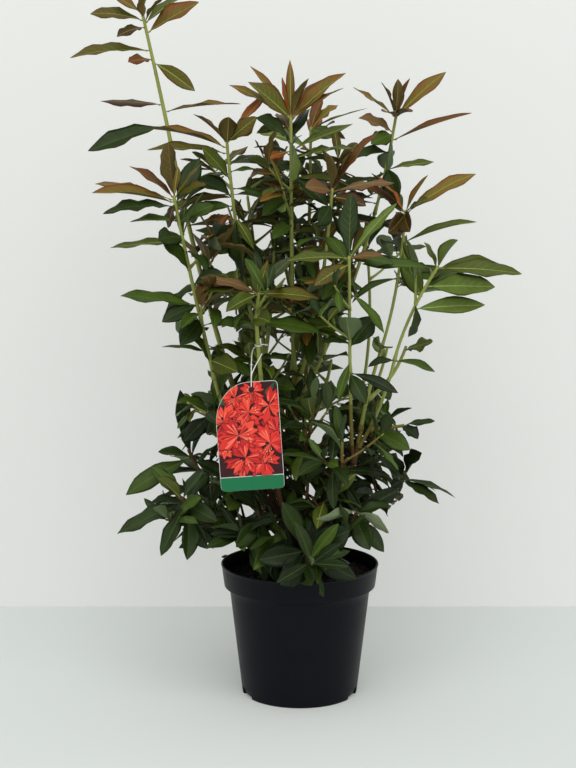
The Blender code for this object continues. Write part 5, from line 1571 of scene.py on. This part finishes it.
def make_tag_print(materials):
    """Each outline becomes a film of ink, a little proud of the one printed before it."""
    card = tag_frame()
    gather = Gather()
    foot = TAG_THICK / 2 + INK * 0.5
    for layer, (shape, ink) in enumerate(print_shapes()):
        lift = TAG_THICK / 2 + INK * (2 + layer * LAYER_SHARE)
        corners = [list(card @ Vector((x, y, z))) for z in (lift, foot) for x, y in shape]
        count = len(shape)
        faces = [tuple(range(count)), tuple(reversed(range(count, 2 * count)))]
        faces += [(k, k + count, (k + 1) % count + count, (k + 1) % count) for k in range(count)]
        gather.add(np.array(corners), faces, [ink] * len(faces))
    gather.piece("tag_print", materials, "tag", smooth=False)


# The pot
POT_HEIGHT = 0.207
RIM_RADIUS = 0.1235
COLLAR_FOOT_RADIUS = 0.1185
WALL_TOP_RADIUS = 0.1100
BASE_RADIUS = 0.0905
COLLAR_HEIGHT = 0.034
STEP_HEIGHT = 0.006
LIP = 0.0014
RIM_BEAD = (0.0002, 1.05)  # how far in it sits, and its width beside the lip's
BEAD_DROP = 0.002  # from the top to where the inside meets the bead
POT_WALL = 0.0016
POT_FLOOR = 0.0022
POT_CREASE = 40
MIDDLE_HOLE = 0.0004  # radius that the caps in the middle close
FLOOR_CURVE = (0.002, 0.003)
COLLAR_ROWS = 9
COLLAR_EDGE = ((0.0003, 0.0008), (0.0016, 0.0016))  # how far in and down its rounding runs
STEP_CORNER = 0.0012
STEP_END = 0.0006
FOOT_EDGE = (0.0004, 0.0005)
FOOT_HEIGHTS = (0.006, 0.003)
NOTCH_ANGLES = (-156, -24, 24, 156)
NOTCH_HEIGHT = 0.012
NOTCH_WIDTH = 0.033
NOTCH_DEPTH = 0.008
NOTCH_SLOPE = 0.0025
NOTCH_EDGE = 0.001
TAB_SIZE = (0.010, 0.014, 0.0022)
TAB_DROP = 0.002
TAB_ROUNDING = 0.0009
TAB_TURN = 20
POT_STEPS = 240
WALL_RINGS = 16
WALL_END = 0.002  # over the notches


def pot_profile():
    """(radius, height), first from the middle of the floor's inside over the rim, then from there
    down the outside to the underside."""
    collar_foot = POT_HEIGHT - COLLAR_HEIGHT
    wall_top = collar_foot - STEP_HEIGHT

    def on_wall(height):
        taper = (BASE_RADIUS - WALL_TOP_RADIUS) * (wall_top - height) / wall_top
        return WALL_TOP_RADIUS + taper, height

    inside = [
        (MIDDLE_HOLE, POT_FLOOR),
        (BASE_RADIUS - POT_WALL - FLOOR_CURVE[0], POT_FLOOR),
        (BASE_RADIUS - POT_WALL, POT_FLOOR + FLOOR_CURVE[1]),
        (WALL_TOP_RADIUS - POT_WALL, wall_top),
        (COLLAR_FOOT_RADIUS - POT_WALL, collar_foot),
        (RIM_RADIUS - LIP - POT_WALL, POT_HEIGHT - BEAD_DROP),
    ]
    bead = (RIM_RADIUS - LIP - RIM_BEAD[0], POT_HEIGHT - LIP)
    inside += arc(bead, LIP * RIM_BEAD[1], LIP, 150, -60, 9)
    outside = []
    for i in range(COLLAR_ROWS + 1):
        share = i / COLLAR_ROWS
        radius = RIM_RADIUS - LIP + (COLLAR_FOOT_RADIUS - RIM_RADIUS + LIP) * share
        height = POT_HEIGHT - 4 * LIP + (collar_foot - POT_HEIGHT + 4 * LIP) * share
        outside.append((radius, height))
    for inward, down in COLLAR_EDGE:
        outside.append((COLLAR_FOOT_RADIUS - inward, collar_foot - down))
    outside.append((WALL_TOP_RADIUS + STEP_CORNER, wall_top + STEP_CORNER))
    outside.append((WALL_TOP_RADIUS, wall_top - STEP_END))
    for i in range(1, WALL_RINGS + 1):
        outside.append(on_wall(wall_top + (NOTCH_HEIGHT + WALL_END - wall_top) * i / WALL_RINGS))
    for height in (NOTCH_HEIGHT, NOTCH_HEIGHT - NOTCH_EDGE, *FOOT_HEIGHTS, LIP):
        outside.append(on_wall(height))
    outside.append((BASE_RADIUS - FOOT_EDGE[0], FOOT_EDGE[1]))
    outside += [(BASE_RADIUS - LIP, 0.0), (MIDDLE_HOLE, 0.0)]
    return inside, outside


def notch_depth(angle):
    """How far the drainage notches draw the foot in at an angle."""
    depth = 0.0
    for notch in NOTCH_ANGLES:
        away = abs((math.degrees(angle) - notch + 180) % 360 - 180)
        away = math.radians(away) * BASE_RADIUS
        depth += NOTCH_DEPTH * min(1.0, max(0.0, (NOTCH_WIDTH / 2 - away) / NOTCH_SLOPE))
    return depth


def make_pot(materials):
    inside, outside = pot_profile()
    corners = []
    for number, (radius, height) in enumerate(inside + outside):
        notched = number >= len(inside) and height < NOTCH_HEIGHT - NOTCH_EDGE / 2
        for k in range(POT_STEPS):
            angle = 2 * math.pi * k / POT_STEPS
            here = radius
            if notched and radius > BASE_RADIUS - NOTCH_DEPTH:
                here -= notch_depth(angle)
            corners.append((here * math.cos(angle), here * math.sin(angle), height))
    faces = closed_rings(len(inside + outside), POT_STEPS, flipped=True)
    pot = shell_piece("pot_shell", corners, faces, materials["black_pot"], POT_CREASE)
    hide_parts("pot")
    make_pot_tab(materials)


def make_pot_tab(materials):
    """The small tab at the rim's left, turned a little to the back, with rounded edges."""
    shape = bmesh.new()
    bmesh.ops.create_cube(shape, size=1.0)
    for corner in shape.verts:
        corner.co *= Vector(TAB_SIZE)
        corner.co.x += -RIM_RADIUS - TAB_SIZE[0] / 2 + 2 * LIP
        corner.co.z += POT_HEIGHT - TAB_DROP
    bmesh.ops.bevel(shape, geom=shape.edges, offset=TAB_ROUNDING, segments=3, affect="EDGES")
    turn = Matrix.Rotation(math.radians(-TAB_TURN), 3, "Z")
    bmesh.ops.rotate(shape, verts=shape.verts, cent=(0.0, 0.0, 0.0), matrix=turn)
    mesh = bpy.data.meshes.new("pot_tab")
    shape.to_mesh(mesh)
    shape.free()
    mesh.materials.append(materials["black_pot"])
    mesh.shade_smooth()
    place_piece("pot_tab", mesh)


# The peat
SOIL_EDGE = 0.186
SOIL_RINGS = 44
SOIL_STEPS = 150
PEAT_ROUGH = ((45, 0.0022), (130, 0.0013), (380, 0.0006))  # scale and height of each unevenness
CRUMBS = 1100
CRUMB_SIZE = (0.0009, 0.0034)
CHIPS = 90
CHIP_SIZE = (0.0008, 0.0016)
LUMP_STRETCH = ((0.7, 1.5), (0.7, 1.3), (0.5, 1.0))
LUMP_UNEVEN = (0.75, 1.2)
LUMP_TIP = 0.6
LUMP_SHOWS = 0.2
LUMPS_SPREAD = (0.01, 0.96)


def peat_height(x, y, edge):
    spot = Vector((x, y, 0.0))
    out = min(1.0, math.hypot(x, y) / edge)
    height = SOIL_TOP + (SOIL_EDGE - SOIL_TOP) * out * out
    for scale, rough in PEAT_ROUGH:
        height += noise.noise(spot * scale) * rough
    return height


def lump(rng, place, size):
    """A small uneven crumb or chip."""
    shape = bmesh.new()
    bmesh.ops.create_icosphere(shape, subdivisions=1, radius=size)
    stretch = Vector([rng.uniform(*least_and_most) for least_and_most in LUMP_STRETCH])
    turn = Matrix.Rotation(rng.uniform(0, 6.3), 3, "Z")
    turn = turn @ Matrix.Rotation(rng.uniform(-LUMP_TIP, LUMP_TIP), 3, "X")
    corners = []
    for corner in shape.verts:
        spot = corner.co * rng.uniform(*LUMP_UNEVEN)
        corners.append(list(turn @ (spot * stretch) + place))
    faces = [tuple(corner.index for corner in face.verts) for face in shape.faces]
    shape.free()
    return np.array(corners), faces


def make_peat(materials):
    rng = random.Random("peat")
    collar_foot = POT_HEIGHT - COLLAR_HEIGHT
    slope = (RIM_RADIUS - LIP - COLLAR_FOOT_RADIUS) / COLLAR_HEIGHT
    edge = COLLAR_FOOT_RADIUS + slope * (SOIL_EDGE - collar_foot) - POT_WALL - GAP
    corners = [(0.0, 0.0, peat_height(0.0, 0.0, edge))]
    for i in range(1, SOIL_RINGS + 1):
        for x, y in round_spots(edge * i / SOIL_RINGS, SOIL_STEPS):
            corners.append((x, y, peat_height(x, y, edge)))
    side = (
        (COLLAR_FOOT_RADIUS, collar_foot),
        (WALL_TOP_RADIUS, collar_foot - STEP_HEIGHT),
        (BASE_RADIUS - FLOOR_CURVE[0], POT_FLOOR + FLOOR_CURVE[1]),
    )
    for radius, height in side:
        spots = round_spots(radius - POT_WALL - GAP, SOIL_STEPS)
        corners += [(x, y, height) for x, y in spots]
    faces = [(0, 1 + k, 1 + (k + 1) % SOIL_STEPS) for k in range(SOIL_STEPS)]
    faces += ring_faces(SOIL_RINGS + len(side), SOIL_STEPS, first=1, flipped=True)
    faces.append(tuple(reversed(range(len(corners) - SOIL_STEPS, len(corners)))))
    gather = Gather()
    gather.add(np.array(corners), faces, ["peat"] * len(faces))
    for number in range(CRUMBS + CHIPS):
        radius = edge * math.sqrt(rng.uniform(*LUMPS_SPREAD))
        angle = rng.uniform(0, 2 * math.pi)
        x, y = radius * math.cos(angle), radius * math.sin(angle)
        chip = number >= CRUMBS
        size = rng.uniform(*(CHIP_SIZE if chip else CRUMB_SIZE))
        place = Vector((x, y, peat_height(x, y, edge) + size * LUMP_SHOWS))
        points, sides = lump(rng, place, size)
        gather.add(points, sides, ["peat_chip" if chip else "peat_crumb"] * len(sides))
    peat = gather.piece("peat_top", materials, "peat")
    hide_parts("soil")


# Finishes

def fill(tree, node, values):
    """Inputs of a node by name or number: numbers and colours are set, anything else is linked."""
    for name, value in values.items():
        socket = node.inputs[name]
        if isinstance(value, (int, float)):
            socket.default_value = value
        elif isinstance(value, tuple):
            socket.default_value = (*value, 1.0)
        else:
            tree.links.new(value, socket)


def named_socket(group, name, side, is_colour):
    kind = "NodeSocketColor" if is_colour else "NodeSocketFloat"
    return group.interface.new_socket(name=name, in_out=side, socket_type=kind)


def new_group(name, inputs):
    """A shader node group with named inputs, each a colour or a number, and their sockets."""
    group = bpy.data.node_groups.new(name, "ShaderNodeTree")
    for socket, value in inputs.items():
        is_colour = isinstance(value, tuple)
        made = named_socket(group, socket, "INPUT", is_colour)
        made.default_value = (*value, 1.0) if is_colour else value
    return group, group.nodes.new("NodeGroupInput").outputs


def put_out(group, results):
    """The group with its outputs: a colour and values."""
    for name in results:
        named_socket(group, name, "OUTPUT", name == "Colour")
    fill(group, group.nodes.new("NodeGroupOutput"), results)
    return group


def math_node(group, operation, *values):
    node = group.nodes.new("ShaderNodeMath")
    node.operation = operation
    fill(group, node, dict(enumerate(values)))
    return node.outputs[0]


def summed(group, total, *terms):
    """A total to which a share of each value is added."""
    for value, share in terms:
        total = math_node(group, "MULTIPLY_ADD", value, share, total)
    return total


def clamped(group, value):
    node = group.nodes.new("ShaderNodeClamp")
    fill(group, node, {0: value})
    return node.outputs[0]


def object_place(group):
    return group.nodes.new("ShaderNodeTexCoord").outputs["Object"]


def noise_node(group, scale, detail, coordinates, roughness=0.55):
    node = group.nodes.new("ShaderNodeTexNoise")
    settings = {"Scale": scale, "Detail": detail, "Vector": coordinates, "Roughness": roughness}
    fill(group, node, settings)
    return node.outputs["Fac"]


def mix_node(group, share, first, second):
    node = group.nodes.new("ShaderNodeMix")
    node.data_type = "RGBA"
    fill(group, node, {0: share, 6: first, 7: second})
    return node.outputs[2]


def leaf_surface():
    """Veins, mottling and a margin of another colour, from each leaf's own across, along and tone."""
    group, given = new_group("leaf_surface", {
        "Colour": (0.1, 0.2, 0.05),
        "Margin": (0.1, 0.1, 0.05),
        "Dark": (0.05, 0.1, 0.02),
        "Vein": (0.2, 0.3, 0.1),
        "Vein show": 0.25,
        "Vein count": 9.0,
    })
    attribute = group.nodes.new("ShaderNodeAttribute")
    attribute.attribute_name = "leaf_place"
    split = group.nodes.new("ShaderNodeSeparateXYZ")
    fill(group, split, {0: attribute.outputs["Vector"]})
    signed, along, tone = split.outputs
    across = math_node(group, "ABSOLUTE", signed)
    coordinates = object_place(group)
    net = noise_node(group, 420.0, 2.0, coordinates)
    mottle = noise_node(group, 60.0, 3.0, coordinates)
    sway = math_node(group, "MULTIPLY", mottle, 0.05)
    phase = math_node(group, "SUBTRACT", along, summed(group, sway, (across, 0.19)))
    phase = math_node(group, "MULTIPLY", phase, given["Vein count"])
    phase = math_node(group, "SUBTRACT", math_node(group, "FRACT", phase), 0.5)
    vein = summed(group, 1.0, (math_node(group, "ABSOLUTE", phase), -13.0))
    vein = math_node(group, "MAXIMUM", vein, 0.0)
    vein = math_node(group, "MULTIPLY", vein, math_node(group, "SUBTRACT", 1.0, across))
    turning = summed(group, -1.20, (mottle, 1.8), (along, 0.45), (across, 0.80), (tone, 0.40))
    base = mix_node(group, clamped(group, turning), given["Colour"], given["Margin"])
    shade = summed(group, -0.25, (net, 0.8), (tone, 0.30))
    base = mix_node(group, clamped(group, shade), base, given["Dark"])
    shown = math_node(group, "MULTIPLY", vein, given["Vein show"])
    return put_out(group, {
        "Colour": mix_node(group, shown, base, given["Vein"]),
        "Height": summed(group, math_node(group, "MULTIPLY", vein, -0.6), (net, 0.5), (mottle, 0.6)),
        "Roughness": summed(group, 0.38, (mottle, 0.25)),
    })


def bark_surface():
    """Streaks along the stem and pale specks."""
    group, given = new_group("bark_surface", {
        "Colour": (0.1, 0.05, 0.03),
        "Streak": (0.2, 0.12, 0.08),
        "Streak show": 0.6,
        "Scale": 240.0,
    })
    coordinates = object_place(group)
    stretch = group.nodes.new("ShaderNodeVectorMath")
    stretch.operation = "MULTIPLY"
    stretch.inputs[1].default_value = (1.0, 1.0, 0.12)
    fill(group, stretch, {0: coordinates})
    streak = noise_node(group, given["Scale"], 4.0, stretch.outputs[0])
    speck = noise_node(group, 700.0, 1.0, coordinates)
    speck = math_node(group, "GREATER_THAN", speck, 0.66)
    share = math_node(group, "MULTIPLY", streak, given["Streak show"])
    share = summed(group, share, (speck, 0.25))
    return put_out(group, {
        "Colour": mix_node(group, share, given["Colour"], given["Streak"]),
        "Height": summed(group, streak, (speck, 0.3)),
    })


def grain_surface():
    """Fine grain and cloudy dust, for moulded plastic, print and peat."""
    group, given = new_group("grain_surface", {
        "Colour": (0.02, 0.02, 0.02),
        "Dust": (0.1, 0.1, 0.1),
        "Dust show": 0.3,
        "Cloud scale": 22.0,
        "Grain scale": 900.0,
        "Roughness": 0.45,
        "Roughness spread": 0.15,
    })
    coordinates = object_place(group)
    cloud = noise_node(group, given["Cloud scale"], 5.0, coordinates, 0.6)
    grain = noise_node(group, given["Grain scale"], 2.0, coordinates)
    share = clamped(group, summed(group, -0.45, (cloud, 1.6)))
    share = math_node(group, "MULTIPLY", share, given["Dust show"])
    spread = math_node(group, "SUBTRACT", cloud, 0.5)
    spread = math_node(group, "MULTIPLY", spread, given["Roughness spread"])
    return put_out(group, {
        "Colour": mix_node(group, share, given["Colour"], given["Dust"]),
        "Height": grain,
        "Roughness": math_node(group, "ADD", spread, given["Roughness"]),
    })


def new_material(name):
    material = bpy.data.materials.new(name)
    material.use_nodes = True
    return material, material.node_tree, material.node_tree.nodes["Principled BSDF"]


def finish_with(name, group, values, bump, roughness=None, specular=0.25):
    """A material whose colour and relief come from a surface group with its own values."""
    material, tree, shader = new_material(name)
    surface = tree.nodes.new("ShaderNodeGroup")
    surface.node_tree = group
    fill(tree, surface, values)
    made = surface.outputs
    relief = tree.nodes.new("ShaderNodeBump")
    fill(tree, relief, {"Strength": bump[0], "Distance": bump[1], "Height": made["Height"]})
    fill(tree, shader, {
        "Base Color": made["Colour"],
        "Normal": relief.outputs["Normal"],
        "Roughness": made["Roughness"] if roughness is None else roughness,
        "Specular IOR Level": specular,
    })
    return material


def plain_finish(name, colour, roughness, specular):
    material, tree, shader = new_material(name)
    look = {"Base Color": linear(colour), "Roughness": roughness, "Specular IOR Level": specular}
    fill(tree, shader, look)
    return material


def darker(colour, share):
    return tuple(part * share for part in colour)


def mixed(first, second, share):
    return tuple(a + (b - a) * share for a, b in zip(first, second))


def leaf_materials(materials):
    group = leaf_surface()
    for tint, (upper, margin, rib, _) in TINTS.items():
        colour = linear(upper)
        values = {
            "Colour": colour,
            "Margin": linear(margin),
            "Dark": darker(colour, 0.55),
            "Vein": mixed(colour, linear(RIBS[rib]), 0.6),
            "Vein show": 0.6,
        }
        name = "leaf_" + tint
        materials[name] = finish_with(name, group, values, (0.5, 0.0006), specular=0.20)
    for rib, colour in RIBS.items():
        colour = linear(colour)
        values = {
            "Colour": colour,
            "Margin": darker(colour, 0.85),
            "Dark": darker(colour, 0.7),
            "Vein show": 0.0,
        }
        name = "rib_" + rib
        materials[name] = finish_with(name, group, values, (0.3, 0.0004), specular=0.3)
    for under, colour in UNDERSIDES.items():
        colour = linear(colour)
        values = {
            "Colour": colour,
            "Margin": darker(colour, 0.85),
            "Dark": darker(colour, 0.72),
            "Vein": mixed(colour, linear(RIBS["lime"]), 0.5),
            "Vein show": 0.6,
        }
        name = "under_" + under
        materials[name] = finish_with(
            name, group, values, (0.6, 0.0008), roughness=0.62, specular=0.15
        )


def stem_materials(materials):
    group = bark_surface()
    colours = {
        "stem_green": ((124, 134, 54), (172, 178, 104), 0.6, 0.5),
        "stem_turning": ((108, 106, 42), (128, 104, 54), 0.6, 0.6),
        "stem_russet": ((82, 52, 30), (112, 84, 50), 0.5, 0.7),
        "bark_brown": ((52, 36, 26), (92, 72, 54), 0.6, 0.8),
    }
    for name, (base, streak, show, roughness) in colours.items():
        values = {"Colour": linear(base), "Streak": linear(streak), "Streak show": show}
        materials[name] = finish_with(
            name, group, values, (0.7, 0.0008), roughness=roughness, specular=0.25
        )


def plain_materials(materials):
    """Pot, peat, card, inks and tie."""
    group = grain_surface()

    def add(name, colour, dust, show, roughness, bump, clouds=22.0, grain=900.0, specular=0.25):
        values = {
            "Colour": linear(colour),
            "Dust": linear(dust),
            "Dust show": show,
            "Cloud scale": clouds,
            "Grain scale": grain,
            "Roughness": roughness,
            "Roughness spread": 0.2,
        }
        materials[name] = finish_with(name, group, values, bump, specular=specular)

    add("black_pot", (12, 13, 19), (42, 42, 44), 0.06, 0.40, (0.25, 0.0003), 26.0, 1500.0, 0.10)
    add("peat", (20, 14, 10), (40, 30, 22), 0.7, 0.95, (0.9, 0.002), 90.0, 600.0)
    add("peat_crumb", (27, 19, 13), (52, 39, 28), 0.8, 0.95, (0.8, 0.001), 120.0, 700.0)
    add("peat_chip", (132, 116, 88), (96, 78, 54), 0.6, 0.8, (0.5, 0.0006), 300.0, 900.0)
    add("white_card", (236, 236, 232), (214, 214, 208), 0.3, 0.32, (0.1, 0.0001))
    add("white_tie", (228, 229, 224), (200, 200, 194), 0.4, 0.42, (0.2, 0.0001), 200.0)
    inks = {
        "ink_maroon": (52, 12, 18),
        "ink_green": (14, 110, 68),
        "ink_coral": (236, 78, 56),
        "ink_red": (218, 48, 40),
        "ink_scarlet": (196, 34, 34),
        "ink_rose": (246, 112, 88),
        "ink_crimson": (140, 22, 28),
        "ink_leaf": (34, 84, 48),
        "ink_cream": (246, 196, 140),
    }
    for name, colour in inks.items():
        materials[name] = plain_finish(name, colour, 0.30, 0.3)


def make_materials():
    materials = {}
    leaf_materials(materials)
    stem_materials(materials)
    plain_materials(materials)
    return materials


# The studio: a pale floor and wall, soft light from above and in front
WALL_Y = 0.47
WALL_COLOUR = (232, 233, 230)
FLOOR_COLOUR = (216, 221, 218)
WALL_GLOW = 0.33
FLOOR_GLOW = 0.12
STAGE_REACH = 5
STAGE_HEIGHT = 4
SKY_COLOUR = (0.98, 0.98, 0.975)
SKY_STRENGTH = 0.60
LIGHTS = (  # name, place, size, power in watts
    ("soft_top", (-0.3, -3.4, 4.6), 4.6, 176),
    ("soft_side", (2.6, -2.8, 2.4), 1.8, 16),
)
LIGHT_AIM = Vector((0.0, 0.0, 0.55))


def stage_material(name, colour, glow, see_through_behind):
    """Pale and matt, with a share of light of its own that keeps the plant's shade on it faint."""
    material = plain_finish(name, colour, 0.85, 0.2)
    tree = material.node_tree
    shader = tree.nodes["Principled BSDF"]
    pale = linear(colour)
    look = {"Base Color": darker(pale, 1 - glow), "Emission Color": pale}
    fill(tree, shader, {**look, "Emission Strength": glow})
    if see_through_behind:
        clear = tree.nodes.new("ShaderNodeBsdfTransparent")
        mix = tree.nodes.new("ShaderNodeMixShader")
        behind = tree.nodes.new("ShaderNodeNewGeometry")
        sides = (behind.outputs["Backfacing"], shader.outputs[0], clear.outputs[0])
        fill(tree, mix, dict(enumerate(sides)))
        fill(tree, tree.nodes["Material Output"], {0: mix.outputs[0]})
    return material


def make_stage():
    floor = bpy.data.meshes.new("floor")
    r = STAGE_REACH
    floor.from_pydata([(-r, -r, 0), (r, -r, 0), (r, r, 0), (-r, r, 0)], [], [(0, 1, 2, 3)])
    floor.materials.append(stage_material("floor_pale", FLOOR_COLOUR, FLOOR_GLOW, False))
    wall = bpy.data.meshes.new("wall")
    y, z = WALL_Y, STAGE_HEIGHT
    wall.from_pydata([(-r, y, 0), (r, y, 0), (r, y, z), (-r, y, z)], [], [(0, 1, 2, 3)])
    wall.materials.append(stage_material("wall_pale", WALL_COLOUR, WALL_GLOW, True))
    for mesh in (floor, wall):
        piece = put_in_scene(mesh.name, mesh)
        piece.visible_shadow = mesh is floor


def make_light():
    world = bpy.data.worlds.new("studio")
    world.use_nodes = True
    background = world.node_tree.nodes["Background"]
    fill(world.node_tree, background, {"Color": SKY_COLOUR, "Strength": SKY_STRENGTH})
    bpy.context.scene.world = world
    for name, place, size, power in LIGHTS:
        data = bpy.data.lights.new(name, "AREA")
        data.energy = power
        data.size = size
        light = put_in_scene(name, data)
        light.location = place
        light.rotation_euler = (LIGHT_AIM - Vector(place)).to_track_quat("-Z", "Y").to_euler()
    bpy.context.scene.view_settings.view_transform = "Standard"


def main():
    make_camera()
    materials = make_materials()
    paths = all_paths()
    make_foliage(paths, materials)
    make_boughs(paths, materials)
    make_trunk(materials)
    make_pot(materials)
    make_peat(materials)
    make_tag_print(materials)
    make_tie(paths, materials)
    card = frame["nodes"]["tag"]
    card.data.materials.clear()
    card.data.materials.append(materials["white_card"])
    make_stage()
    make_light()


main()
